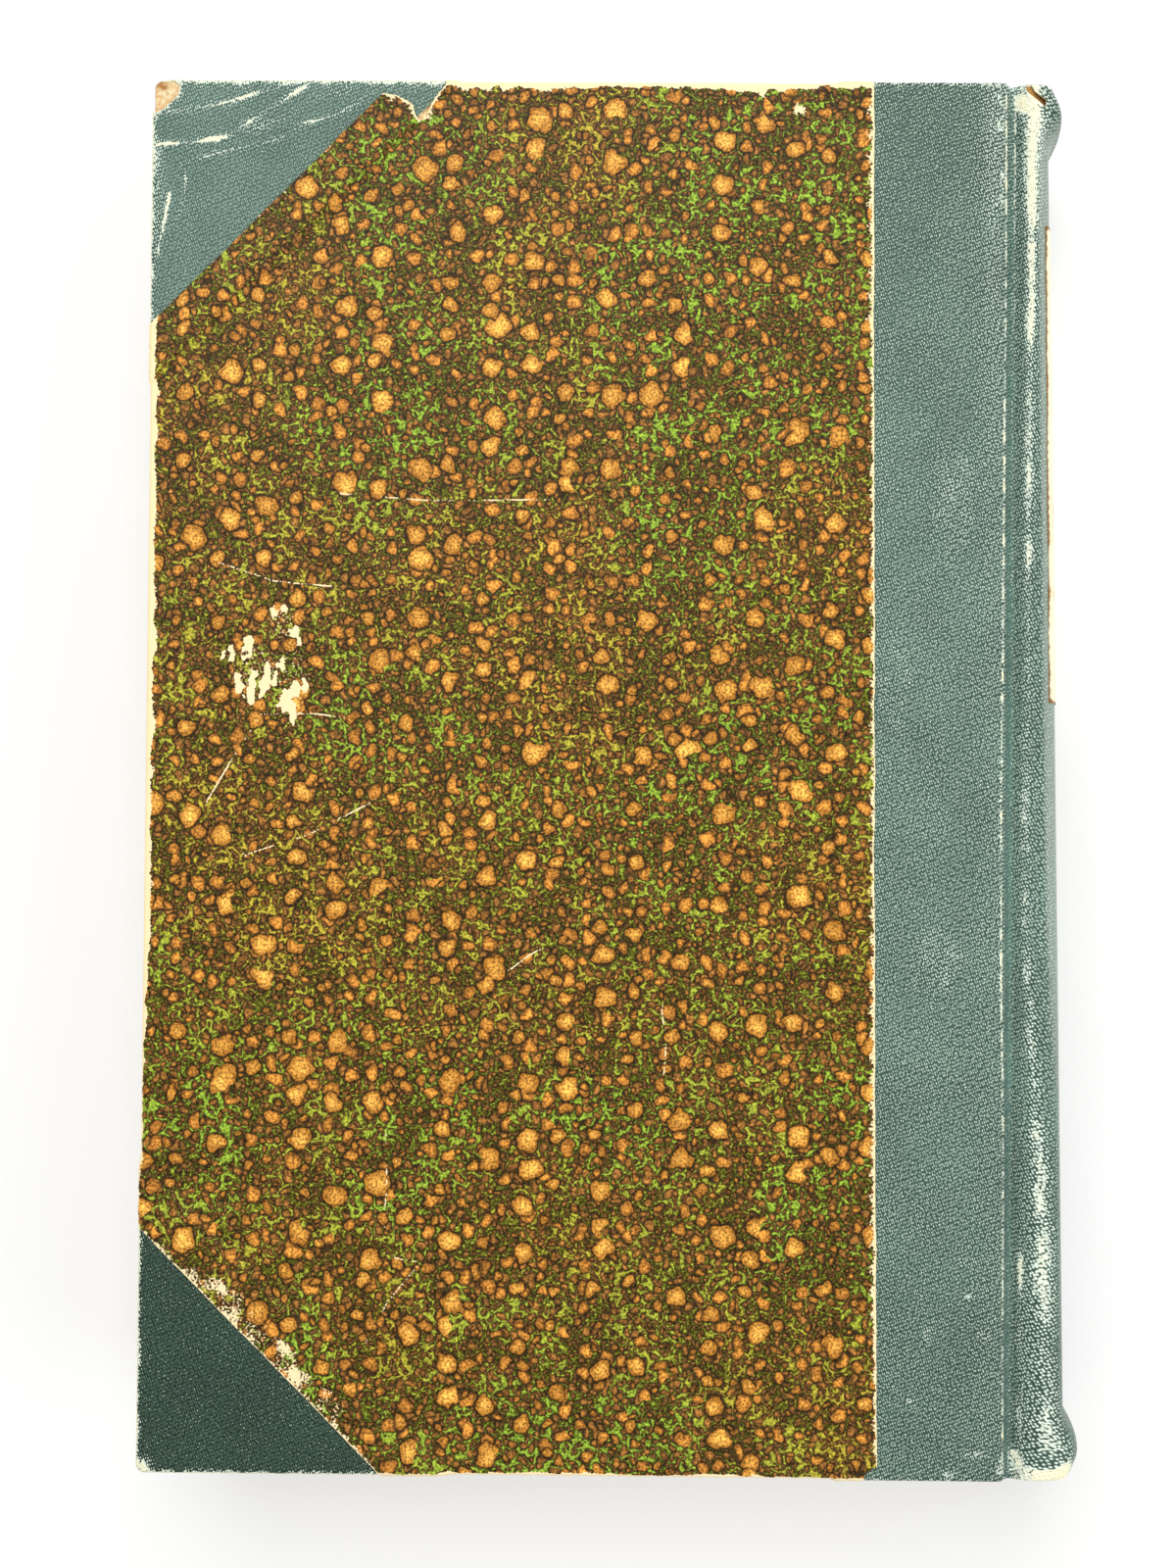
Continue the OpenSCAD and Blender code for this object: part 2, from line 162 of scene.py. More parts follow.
def hexPoints(lowU, highU, lowV, highV, pitch):
    rows = np.arange(lowV, highV + pitch, pitch * 0.866)
    columns = np.arange(lowU, highU + pitch, pitch)
    u, v = np.meshgrid(columns, rows)
    u = u + (np.arange(len(rows)) % 2)[:, None] * pitch / 2
    return np.stack([u.ravel(), v.ravel()], 1)


# Points in rows beside a line, where a sheet bends or a mark is narrow
def rowPoints(line, offsets, pitch):
    line = resample(line, pitch)
    step = np.gradient(line, axis=0)
    step /= np.hypot(*step.T)[:, None]
    side = np.stack([-step[:, 1], step[:, 0]], 1)
    return np.concatenate([line + side * offset for offset in offsets])


# Soft noise over the sheet that is the same on every run
def drift(u, v, size, seed):
    chance = np.random.default_rng(seed)
    total = np.zeros(np.shape(u))
    for _ in range(7):
        angle, phase, stretch = (chance.uniform(*span) for span in ((0, 2 * math.pi), (0, 7), (0.6, 1.9)))
        total = total + np.sin((u * math.cos(angle) + v * math.sin(angle)) * stretch * 2 / size + phase)
    return total / 3.7


def finishMesh(name, points, faces, finish, marks, faceMarks):
    mesh = bpy.data.meshes.new(name)
    mesh.from_pydata(points, [], faces)
    for mark, values in marks.items():
        kind, field = ("FLOAT_VECTOR", "vector") if np.ndim(values) == 2 else ("FLOAT", "value")
        attribute = mesh.attributes.new(mark, kind, "POINT")
        attribute.data.foreach_set(field, np.array(values, np.float32).ravel())
    for mark, values in faceMarks.items():
        attribute = mesh.attributes.new(mark, "FLOAT", "FACE")
        attribute.data.foreach_set("value", np.array(values, np.float32))
    mesh.shade_smooth()
    mesh.set_sharp_from_angle(angle=math.radians(35))
    mesh.materials.append(finish)
    piece = bpy.data.objects.new(name, mesh)
    bpy.context.scene.collection.objects.link(piece)
    return piece


# A sheet cut to an outline, with its thickness. place(u, v, lift) says where a point of the
# flat sheet lies, lift being its height over the underside. marks give the wear at a point,
# and the painted shade, highlights and sheen.
def makeSheet(name, outline, fill, place, thickness, marks, finish, cuts=(), flip=False, flatten=None):
    outline, fill = np.array(outline, float), np.array(fill, float)
    closed = np.concatenate([outline, outline[:1]])
    keep = isInside(outline, *fill.T) & (distanceTo(closed, *fill.T) > 0.2)  # none crowds the edge
    points, edges = [Vector(p) for p in outline], []
    for cut in cuts:
        start = len(points)
        points += [Vector(p) for p in cut]
        edges += [(start + i, start + (i + 1) % len(cut)) for i in range(len(cut))]
    points += [Vector(p) for p in fill[keep]]
    found = delaunay_2d_cdt(points, edges, [list(range(len(outline)))], 1, 1e-4)
    flat, faces = np.array([tuple(p) for p in found[0]]), np.array(found[2])
    middle = flat[faces].mean(axis=1)
    for cut in cuts:
        faces = faces[~isInside(cut, *middle.T)]
        middle = flat[faces].mean(axis=1)
    used, faces = np.unique(faces, return_inverse=True)
    flat, faces = flat[used], faces.reshape(-1, 3)
    a, b, c = (flat[faces[:, i]] for i in range(3))
    area = (b[:, 0] - a[:, 0]) * (c[:, 1] - a[:, 1]) - (b[:, 1] - a[:, 1]) * (c[:, 0] - a[:, 0])
    faces = faces[np.abs(area) > 1e-7]
    area = area[np.abs(area) > 1e-7]
    faces[area < 0] = faces[area < 0][:, ::-1]
    sides = np.concatenate([faces[:, [0, 1]], faces[:, [1, 2]], faces[:, [2, 0]]])
    key = np.sort(sides, axis=1)
    _, first, uses = np.unique(key, axis=0, return_index=True, return_counts=True)
    rim = sides[first[uses == 1]]
    u, v = flat.T
    size = len(flat)
    points = np.concatenate([place(u, v, thickness), place(u, v, 0)]) / 1000
    walls = np.stack([rim[:, 0], rim[:, 0] + size, rim[:, 1] + size, rim[:, 1]], 1)
    under = faces[:, ::-1] + size
    if flip:
        faces, walls, under = faces[:, ::-1], walls[:, ::-1], under[:, ::-1]
    allFaces = faces.tolist() + under.tolist() + walls.tolist()
    onSheet = flat if flatten is None else flatten(u, v)
    values = {mark: np.tile(rule(u, v), 2) for mark, rule in marks.items()}
    sheetPlace = np.concatenate([onSheet, np.zeros((size, 1))], 1) / 1000
    values["sheetPlace"] = np.concatenate([sheetPlace, sheetPlace])
    faceMarks = {
        "cutEdge": [0] * (2 * len(faces)) + [1] * len(walls),
        "reverse": [0] * len(faces) + [1] * len(faces) + [0] * len(walls),
    }
    return finishMesh(name, points, allFaces, finish, values, faceMarks)


# How a sheet bends over an edge: s is how far past the start of the bend, core the thickness
# that it goes round. Gives the way out from the core's end, the way up from its top, the turn.
def foldOver(s, bend, core, lift):
    quarter = (bend + 0.25) * math.pi / 2
    wall = np.maximum(core - 2 * bend, 0)
    turn = (np.clip(s / quarter, 0, 1) + np.clip((s - quarter - wall) / quarter, 0, 1)) * math.pi / 2
    drop = np.clip(s - quarter, 0, wall)
    inward = np.maximum(s - 2 * quarter - wall, 0)
    out = np.minimum(s, 0) - bend + (bend + lift) * np.sin(turn) - inward
    up = -bend - drop + (bend + lift) * np.cos(turn)
    return out, up, turn


fullQuarter = (covering["edgeRound"] + 0.25) * math.pi / 2
toInside = 2 * fullQuarter + boardThickness - 2 * covering["edgeRound"]
turnEnd = toInside + covering["turnIn"] - covering["edgeRound"]
bendRows = [-0.5, 0, 0.35, 0.7, fullQuarter, toInside / 2]
bendRows += [toInside - before for before in (fullQuarter, 0.6, 0.3, 0)]


# How far the side paper stands off the board: it lies over the cut edges of the cloth
def paperRise(u, v):
    overStrip = u - covering["stripStart"]
    fromFore, fromEnd = np.maximum(u - foreX, 0), np.maximum(boardHalf - np.abs(v), 0)
    overCorner = (covering["hiddenLeg"] - fromFore - fromEnd) / math.sqrt(2)
    return cloth * smooth(np.maximum(overStrip, overCorner) / covering["step"] + 1)


def placeOnBoard(u, v, lift):
    bend = covering["edgeRound"]
    outFore, upFore, _ = foldOver(foreBend - u, bend, boardThickness, lift)
    outEnd, upEnd, _ = foldOver(np.abs(v) - bendStart, bend, boardThickness, lift)
    overFore, overEnd = u < foreBend, np.abs(v) > bendStart
    x = np.where(overFore, foreX - outFore, u)
    y = np.where(overEnd, np.sign(v) * (boardHalf + outEnd), v)
    z = outerZ + np.where(overFore, upFore, np.where(overEnd, upEnd, lift))
    return x, y, z


def asCover(side, x, y, z):
    return np.stack([x, y, z if side == "back" else bookHeight - z], 1)


# Materials: hex colours as the eye sees them, one function to linear

def linear(colour):
    parts = [int(colour[i:i + 2], 16) / 255 for i in (1, 3, 5)]
    return (*[p / 12.92 if p <= 0.04045 else ((p + 0.055) / 1.055) ** 2.4 for p in parts], 1.0)


def addNode(tree, kind, inputs=None, settings=None):
    node = tree.nodes.new(kind)
    for key, value in (settings or {}).items():
        setattr(node, key, value)
    for key, value in (inputs or {}).items():
        socket = node.inputs[key]
        if isinstance(value, bpy.types.Node):  # a node stands for its first output in use
            value = next(output for output in value.outputs if output.enabled)
        if isinstance(value, bpy.types.NodeSocket):
            tree.links.new(value, socket)
        elif isinstance(value, str) and value.startswith("#"):
            socket.default_value = linear(value)
        else:
            socket.default_value = value
    return node


# A material with an empty tree, and the marks on the sheet that it reads
def startMaterial(name, *marks):
    material = bpy.data.materials.new(name)
    material.use_nodes = True
    tree = material.node_tree
    tree.nodes.clear()
    read = []
    for mark in marks:
        node = addNode(tree, "ShaderNodeAttribute", None, {"attribute_name": mark})
        read.append(node.outputs["Vector" if mark == "sheetPlace" else "Fac"])
    return material, tree, *read


# depth is the real height in millimetres of what relief draws
def endMaterial(tree, colour, roughness, relief, depth, sockets):
    bump = addNode(tree, "ShaderNodeBump", {"Height": relief, "Distance": depth / 1000, "Strength": 1.0})
    shader = addNode(tree, "ShaderNodeBsdfPrincipled", {
        "Base Color": colour, "Roughness": roughness, "Normal": bump, **sockets})
    addNode(tree, "ShaderNodeOutputMaterial", {"Surface": shader})


# Settings that many nodes share
flatCells, flatNoise = {"voronoi_dimensions": "2D"}, {"noise_dimensions": "2D"}
mixed, multiplied = {"data_type": "RGBA"}, {"data_type": "RGBA", "blend_type": "MULTIPLY"}
eased = {"interpolation_type": "SMOOTHSTEP"}
plus, minus, times, timesPlus, over, root, power = ({"operation": word} for word in (
    "ADD", "SUBTRACT", "MULTIPLY", "MULTIPLY_ADD", "DIVIDE", "SQRT", "POWER"))
greater, unsigned, fraction = ({"operation": word} for word in ("MAXIMUM", "ABSOLUTE", "FRACT"))


pebbledCloth = {
    "grain": 0.58,  # pitch of the pebbles
    "slant": 0.35,  # of the rows in which they stand, in radians from the head
    "narrow": 0.84,
    "long": 1.3,
    "thread": 0.6,  # pitch of the weave, along which the colour rubs off
    "mottle": 16,
    "relief": 0.2,
    # painted shade in the grain's valleys and a painted highlight on the pebbles' tops
    "valleyShade": "#324f42",
    "pebbleHighlight": "#a4c1b2",
    # pressed cloth in the joint's groove, and painted shade on the shoulder's steep side
    "pressedAndShaded": "#4f6f66",
    "paintedShade": "#708c79",  # painted shade: multiplies the colour where it is darkened
    # pale grey painted as a sheen on the back's steep side
    "dustAndSheen": "#a4b0a6",
    # pale of the rubbed tops and of the specks painted as highlights
    "rubbedAndHighlight": "#e6f3e2",
    "bare": "#f9f4cf",
    "fibre": "#e6dfbd",
    "reverse": "#b9894a",
}


# Starch-filled bookcloth, embossed with a pebble grain: a low sheen that breaks up on the grain,
# painted shade in the valleys and a painted highlight on the pebbles' tops, pale where the colour
# is rubbed off the tops and where pale specks are painted as highlights. Painted shade darkens it
# in places and a painted sheen greys it on the back's steep side.
def makePebbledCloth(name):
    material, tree, place, rubAndHighlight, pressedAndShaded, paintedShade, dustyAndSheen, cutEdge, reverse = startMaterial(
        name, "sheetPlace", "rubAndHighlight", "pressedAndShaded", "paintedShade", "dustyAndSheen", "cutEdge", "reverse")
    slanted = addNode(tree, "ShaderNodeMapping", {
        "Vector": place, "Rotation": (0, 0, pebbledCloth["slant"]),
        "Scale": (pebbledCloth["narrow"], pebbledCloth["long"], 1)}, {"vector_type": "TEXTURE"})
    grain = addNode(tree, "ShaderNodeTexVoronoi", {
        "Vector": slanted, "Scale": 1000 / pebbledCloth["grain"], "Randomness": 0.5}, flatCells)
    fine, cloudy = (
        addNode(tree, "ShaderNodeTexNoise", {
            "Vector": place, "Scale": 1000 / pebbledCloth[kind], "Detail": detail}, flatNoise)
        for kind, detail in (("thread", 2.0), ("mottle", 4.0)))
    height = addNode(tree, "ShaderNodeMapRange", {
        "Value": grain.outputs["Distance"], "From Min": 0.52, "From Max": 0.04})
    level = addNode(tree, "ShaderNodeMath", {0: pressedAndShaded, 1: -0.75, 2: 1.0}, timesPlus)
    relief = addNode(tree, "ShaderNodeMath", {0: height, 1: level}, times)
    # painted shade in the valleys and a painted highlight on each pebble's top
    body = addNode(tree, "ShaderNodeMix", {
        0: height, 6: pebbledCloth["valleyShade"], 7: pebbledCloth["pebbleHighlight"]}, mixed)
    evened = addNode(tree, "ShaderNodeMix", {0: pressedAndShaded, 6: body, 7: pebbledCloth["pressedAndShaded"]}, mixed)
    tone = addNode(tree, "ShaderNodeMapRange", {
        "Value": cloudy, "From Min": 0.3, "From Max": 0.7, "To Min": 0.86, "To Max": 1.12})
    toned = addNode(tree, "ShaderNodeMix", {0: 1.0, 6: evened, 7: tone}, multiplied)
    # painted shade: darker towards head and tail and on the tail corners
    shadePainted = addNode(tree, "ShaderNodeMix", {0: paintedShade, 6: toned, 7: pebbledCloth["paintedShade"]}, multiplied)
    # painted sheen: pale grey on the back's steep side
    sheenPainted = addNode(tree, "ShaderNodeMix", {0: dustyAndSheen, 6: shadePainted, 7: pebbledCloth["dustAndSheen"]}, mixed)
    # pale specks on the pebbles' tops: rubbed wear, and painted highlights where the rub is low
    tips = addNode(tree, "ShaderNodeMapRange", {
        "Value": grain.outputs["Distance"], "From Min": 0.42, "From Max": 0.08}, eased)
    tops = addNode(tree, "ShaderNodeMath", {0: tips, 1: 0.58, 2: rubAndHighlight}, timesPlus)
    chance = addNode(tree, "ShaderNodeMath", {0: fine, 1: 0.9, 2: tops}, timesPlus)
    mask = addNode(tree, "ShaderNodeMapRange", {"Value": chance, "From Min": 1.16, "From Max": 1.36}, eased)
    deep = addNode(tree, "ShaderNodeMapRange", {"Value": rubAndHighlight, "From Min": 0.74, "From Max": 1.04})
    pale = addNode(tree, "ShaderNodeMix", {
        0: deep, 6: pebbledCloth["rubbedAndHighlight"], 7: pebbledCloth["bare"]}, mixed)
    worn = addNode(tree, "ShaderNodeMix", {0: mask, 6: sheenPainted, 7: pale}, mixed)
    edged = addNode(tree, "ShaderNodeMix", {0: cutEdge, 6: worn, 7: pebbledCloth["fibre"]}, mixed)
    backed = addNode(tree, "ShaderNodeMix", {0: reverse, 6: edged, 7: pebbledCloth["reverse"]}, mixed)
    roughness = addNode(tree, "ShaderNodeMapRange", {"Value": mask, "To Min": 0.42, "To Max": 0.85})
    endMaterial(tree, backed, roughness, relief, pebbledCloth["relief"], {"Specular IOR Level": 0.4})
    return material


marbling = {
    "stir": (3.4, 2.4),  # size of the swirls that bend the drops, and how far they push
    "islands": 10,  # sizes of the green's islands and of the flecks in them
    "flecks": 0.8,
    "fine": 0.56,  # speckle of all the colours
    "regions": 60,  # where the green is yellower
    "ground": "#33240a",
    "groundOlive": "#666a1a",
    "green": "#8aa634",
    "olive": "#b09c34",
    "drops": [  # pitch in mm, share of places filled, least and most radius, edge and heart
        (1.3, 0.66, 0.24, 0.45, "#4e3417", "#946434"),
        (2.2, 0.74, 0.2, 0.44, "#5a3a1a", "#b47a38"),
        (4.2, 0.66, 0.16, 0.4, "#764a1c", "#e89c40"),
        (8.2, 0.55, 0.12, 0.33, "#925c1c", "#ffba54"),
    ],
    "halo": "#2f220f",
    "bare": "#f8e2b2",
    "fibre": "#dcbb86",
}


# One size of colour drops on the marbling bath: a soft dark surround, then the drop's edge
# and its brighter heart. The depth inside a drop is in millimetres.
def addDrops(tree, place, net, pitch, share, least, most, edge, heart):
    cells = addNode(tree, "ShaderNodeTexVoronoi", {
        "Vector": place, "Scale": 1000 / pitch, "Randomness": 1.0}, flatCells)
    chance = addNode(tree, "ShaderNodeSeparateColor", {0: cells.outputs["Color"]})
    radius = addNode(tree, "ShaderNodeMapRange", {
        "Value": chance, "From Min": 1 - share, "From Max": 1.0, "To Min": least * pitch,
        "To Max": most * pitch}, {"clamp": False})
    depth = addNode(tree, "ShaderNodeMath", {0: cells.outputs["Distance"], 1: -pitch, 2: radius}, timesPlus)
    halo = addNode(tree, "ShaderNodeMapRange", {
        "Value": depth, "From Min": -0.2 - 0.09 * pitch, "From Max": 0.0, "To Max": 0.95}, eased)
    mask = addNode(tree, "ShaderNodeMapRange", {"Value": depth, "From Min": -0.02, "From Max": 0.16}, eased)
    bright = addNode(tree, "ShaderNodeMapRange", {
        "Value": depth, "From Min": 0.0, "From Max": 0.2 + 0.19 * pitch})
    tinted = addNode(tree, "ShaderNodeMapRange", {"Value": chance.outputs[1], "To Min": 0.45, "To Max": 1.0})
    lit = addNode(tree, "ShaderNodeMath", {0: bright, 1: tinted}, times)
    dark = addNode(tree, "ShaderNodeMix", {0: halo, 6: net, 7: marbling["halo"]}, mixed)
    drop = addNode(tree, "ShaderNodeMix", {0: lit, 6: edge, 7: heart}, mixed)
    return addNode(tree, "ShaderNodeMix", {0: mask, 6: dark, 7: drop}, mixed)


# Stone-marbled paper: body colours thrown on size in drops of many sizes, a dark net between
# them with green let into it; a faint gloss from the burnished surface, pale where it is scuffed.
def makeMarbledPaper(name):
    material, tree, place, bare, cutEdge, reverse = startMaterial(
        name, "sheetPlace", "bare", "cutEdge", "reverse")
    swirl, push = marbling["stir"]
    stir = addNode(tree, "ShaderNodeTexNoise", {
        "Vector": place, "Scale": 1000 / swirl, "Detail": 1.0}, flatNoise)
    pushed = addNode(tree, "ShaderNodeVectorMath", {
        0: stir.outputs["Color"], 1: (push / 1000, push / 1000, 0), 2: place}, timesPlus)
    islands, flecks, fine, regions = (
        addNode(tree, "ShaderNodeTexNoise", {
            "Vector": on, "Scale": 1000 / marbling[kind], "Detail": detail,
            "Roughness": roughness}, flatNoise)
        for kind, on, detail, roughness in (("islands", place, 3.0, 0.5), ("flecks", pushed, 3.0, 0.65),
                                            ("fine", place, 1.0, 0.5), ("regions", place, 2.0, 0.5)))
    ground = addNode(tree, "ShaderNodeMix", {
        0: fine, 6: marbling["ground"], 7: marbling["groundOlive"]}, mixed)
    yellower = addNode(tree, "ShaderNodeMapRange", {"Value": regions, "From Min": 0.4, "From Max": 0.65})
    greenTint = addNode(tree, "ShaderNodeMix", {
        0: yellower, 6: marbling["green"], 7: marbling["olive"]}, mixed)
    greenHere = addNode(tree, "ShaderNodeMapRange", {
        "Value": islands, "From Min": 0.4, "From Max": 0.6, "To Min": -0.07, "To Max": 0.2})
    greenSum = addNode(tree, "ShaderNodeMath", {0: flecks, 1: greenHere}, plus)
    greenMask = addNode(tree, "ShaderNodeMapRange", {
        "Value": greenSum, "From Min": 0.5, "From Max": 0.56}, eased)
    net = addNode(tree, "ShaderNodeMix", {0: greenMask, 6: ground, 7: greenTint}, mixed)
    for drops in marbling["drops"]:
        net = addDrops(tree, pushed, net, *drops)
    speckle = addNode(tree, "ShaderNodeMapRange", {
        "Value": fine, "From Min": 0.33, "From Max": 0.67, "To Min": 0.5, "To Max": 1.62})
    speckled = addNode(tree, "ShaderNodeMix", {0: 1.0, 6: net, 7: speckle}, multiplied)
    chance = addNode(tree, "ShaderNodeMath", {0: fine, 1: 0.7, 2: bare}, timesPlus)
    mask = addNode(tree, "ShaderNodeMapRange", {"Value": chance, "From Min": 0.76, "From Max": 0.9}, eased)
    worn = addNode(tree, "ShaderNodeMix", {0: mask, 6: speckled, 7: marbling["bare"]}, mixed)
    plain = addNode(tree, "ShaderNodeMath", {0: cutEdge, 1: reverse}, greater)
    backed = addNode(tree, "ShaderNodeMix", {0: plain, 6: worn, 7: marbling["fibre"]}, mixed)
    roughness = addNode(tree, "ShaderNodeMapRange", {"Value": mask, "To Min": 0.45, "To Max": 0.85})
    endMaterial(tree, backed, roughness, fine, 0.03, {"Specular IOR Level": 0.1})
    return material


clothFinish = makePebbledCloth("pebbledBookcloth")
paperFinish = makeMarbledPaper("stoneMarbledPaper")
print("cloth and marbled paper finishes made")

# The marbled side papers

sidePapers = {
    "back": {
        "head": [(-101.6, 96.3), (-51.6, 146.9)],
        "headTear": [(-51.6, 146.9), (-48.6, 146.5), (-46.5, 145.2), (-45.2, 144.2), (-44.4, 142.2),
                     (-43.7, 141.3), (-42.2, 142.0), (-41.5, 143.6), (-39.3, 147.3), (-37.8, 149.0),
                     (-36.4, 152.5), (-34.8, 156)],
        "spineSide": [(54.5, 155), (54.4, 149.4), (54.6, 103.5), (55, 40), (55.3, -22.8), (55.8, -85.4),
                      (56.4, -146.8)],
        "tailTear": [(56.4, -146.8), (53.9, -148.0), (52.9, -150.3), (52.7, -155)],
        "tail": [(-49.0, -155), (-49.0, -150.0), (-102.1, -97.1)],
        "seed": 11,
    },
    "front": {
        "head": [(-101.6, 96.3), (-48.6, 149.3)],
        "headTear": [(-48.6, 149.3), (-48.4, 151), (-48.3, 155)],
        "spineSide": [(55.3, 155), (55.3, 149.4), (55.2, 60), (55.4, -40), (55.3, -149.2)],
        "tailTear": [(55.3, -149.2), (55.2, -151), (55.3, -155)],
        "tail": [(-48.6, -155), (-48.7, -149.4), (-101.9, -96.2)],
        "seed": 23,
    },
}
# Where the back paper is rubbed: middle, half sizes, slant in degrees and strength
paperScuffs = [
    (-78, 22, 8, 9, 0, 0.34), (-70, 20, 6, 12, 0, 0.32), (-72, 32, 5, 6, 0, 0.34),
    (-75, 33, 9, 12, 20, 0.22), (-66, 2, 8, 20, 15, 0.16), (-23.9, 71.5, 6, 11, 0, 0.2),
    (-34.8, 38.8, 5, 5, 0, 0.24), (-19.5, 45.1, 4, 8, 0, 0.2), (-47.8, -69.3, 6, 5, 0, 0.24),
    (-54, -77.7, 4, 5, 0, 0.24), (-39.3, -81.8, 5, 7, 30, 0.18), (-60, -100, 9, 22, 20, 0.16),
    (-77, -112, 8, 10, 0, 0.22), (2.4, -50.3, 4, 6, 0, 0.16), (20, -15, 30, 12, 0, 0.06),
    (-30, -60, 22, 10, 20, 0.1), (-84, -45, 7, 26, 0, 0.1),
]
# Claw marks torn through to the bare paper: middle, half sizes, and slant in degrees
clawMarks = [
    (-84.9, 25.0, 0.4, 1.4, -8), (-83.1, 25.6, 0.5, 1.6, 6), (-81.3, 18.8, 0.8, 3.3, 10),
    (-79.4, 27.0, 1.2, 1.9, -12), (-78.6, 18.3, 0.85, 3.6, -7), (-75.8, 19.2, 0.75, 3.2, -14),
    (-73.5, 20.8, 0.5, 2.2, -10), (-72.1, 22.9, 0.4, 1.4, 0), (-71.4, 15.3, 1.2, 2.4, -20),
    (-69.3, 17.4, 0.9, 1.9, -12), (-69.7, 12.5, 0.8, 1.9, 8), (-67.3, 18.7, 0.6, 1.4, 15),
    (-73.9, 34.3, 0.8, 1.1, 0), (-71.8, 35.0, 0.5, 0.8, 20), (-69.7, 29.8, 0.9, 1.4, -15),
    (-68.6, 28.4, 0.5, 0.8, 0),
]
paperScratches = [
    [(-76.5, 12.3), (-82.5, 3.0), (-88.1, -6.7)],
    [(-79.3, -17.8), (-66, -13.5), (-51.6, -5.9)],
    [(-76.5, 12.3), (-66, 12.6), (-55.0, 11.3)],
    [(-48.8, -77.7), (-48.5, -88), (-49.0, -98.5)],
    [(-52.5, -121.4), (-48, -113), (-41.1, -104.7), (-46.5, -103.8)],
    [(-23.1, -42.5), (-18.5, -39), (-15.6, -37.4)],
    [(-86, 45), (-74, 41), (-62, 40)],
    [(10, -50), (11, -58), (10.6, -64)],
    [(-60, 60), (-40, 58.6), (-14, 59)],
]
paperWear = {
    "strength": {"back": 1.0, "front": 0.55},  # the front cover isn't seen: plainer wear
    "headDepth": {"back": 1.35, "front": 0.6},
    "tailDepth": 0.55,
    "foreDepth": 0.5,
    "foreMore": 1.2,  # deeper by this towards the head
    "fray": (0.75, 0.45),  # strength and width beside the cut at the spine and the torn head
    "cutWidth": 0.25,
    "tailCut": (0.6, 0.3),
    "scratch": (0.62, 0.2),
    "scuffedHead": (18, 44),  # from and to, along the head
    "lump": [(37.4, 143), (38.2, 144.4), (39, 143.6)],
    "flap": [(-34.6, 149.6), (-30, 149.2), (-24, 150)],  # lifted beside the tear
    "abraded": [(-88, -107.9), (-60, -135.8)],  # along the tail corner's cloth
    "abradedWidth": 3.5,
    "finePatches": [  # where marks are small: from and to across, from and to along, pitch
        (-87, -65, 9, 37, 0.4), (16, 46, 141, 149, 0.9), (-90, -56, -138, -104, 0.8)],
}


def claws(u, v):
    torn = 0.4 * drift(u, v, 0.9, 6) + 0.3 * drift(u, v, 2.2, 7)
    total = 0 * u
    for midU, midV, halfU, halfV, slant in clawMarks:
        across, along = turned(u, v, (midU, midV), slant)
        edge = (np.abs(across / halfU) ** 3 + np.abs(along / halfV) ** 3) ** (1 / 3)
        total = np.maximum(total, smooth((1.2 + torn - edge) / 0.4))
    return total


def backPaperDamage(u, v, wave, rough):
    seed = sidePapers["back"]["seed"]
    start, end = paperWear["scuffedHead"]
    scuff = 0.9 * smooth((v - 147.4 - 1.5 * rough) / 2) * smooth((u - start) / 6) * smooth((end - u) / 4)
    lump = 0.75 * smooth(1.3 + 0.9 * wave - distanceTo(paperWear["lump"], u, v))
    flap = 0.9 * smooth(2.1 + 0.8 * rough - distanceTo(paperWear["flap"], u, v))
    band = distanceTo(paperWear["abraded"], u, v)
    patchy = 0.39 + 0.2 * drift(u, v, 1.9, seed + 4)
    abraded = patchy * smooth((paperWear["abradedWidth"] + 0.9 * wave - band) / 1.2)
    total = np.maximum.reduce([scuff, lump, flap, abraded, claws(u, v)])
    for midU, midV, halfU, halfV, slant, strength in paperScuffs:
        along, across = turned(u, v, (midU, midV), slant)
        total = np.maximum(total, strength * smooth(1.35 - np.hypot(along / halfU, across / halfV)))
    strength, width = paperWear["scratch"]
    thin = strength * (1 + 0.5 * drift(u, v, 2.6, seed + 5))
    for scratch in paperScratches:
        total = np.maximum(total, thin * smooth(1.2 - distanceTo(scratch, u, v) / width))
    return total


def paperBareness(side):
    shape = sidePapers[side]
    seed = shape["seed"]

    def bareness(u, v):
        wave = drift(u, v, 9, seed) * 0.6 + drift(u, v, 2.4, seed + 1) * 0.5
        rough = wave + 0.5 * drift(u, v, 1.1, seed + 3)
        towardsHead = smooth((v + 62) / 30) if side == "back" else 0.4
        foreDepth = paperWear["foreDepth"] + paperWear["foreMore"] * towardsHead
        fore = smooth((foreX + foreDepth + 0.55 * wave - u) / 0.8)
        head = smooth((v - boardHalf + paperWear["headDepth"][side] + 0.7 * rough) / 0.6)
        tail = smooth((-v - boardHalf + paperWear["tailDepth"] + 0.5 * rough) / 0.6)
        edges = np.minimum(distanceTo(shape["spineSide"], u, v), distanceTo(shape["headTear"], u, v))
        strength, width = paperWear["fray"]
        frayed = strength * fading(edges, (width + 0.2 * wave).clip(0.15, 2))
        cut = (0.3 + 0.2 * wave) * fading(distanceTo(shape["head"], u, v), paperWear["cutWidth"])
        strength, width = paperWear["tailCut"]
        tailCut = strength * fading(distanceTo(shape["tail"], u, v), width)
        pastEdge = np.maximum(foreX - u, np.abs(v) - boardHalf)
        spared = 1 - (0.5 - 0.2 * rough) * smooth((pastEdge - 0.7) / 0.7)
        total = np.maximum.reduce([fore, head, tail, frayed, cut, tailCut])
        total = total * paperWear["strength"][side] * spared
        return np.maximum(total, backPaperDamage(u, v, wave, rough)) if side == "back" else total
    return bareness


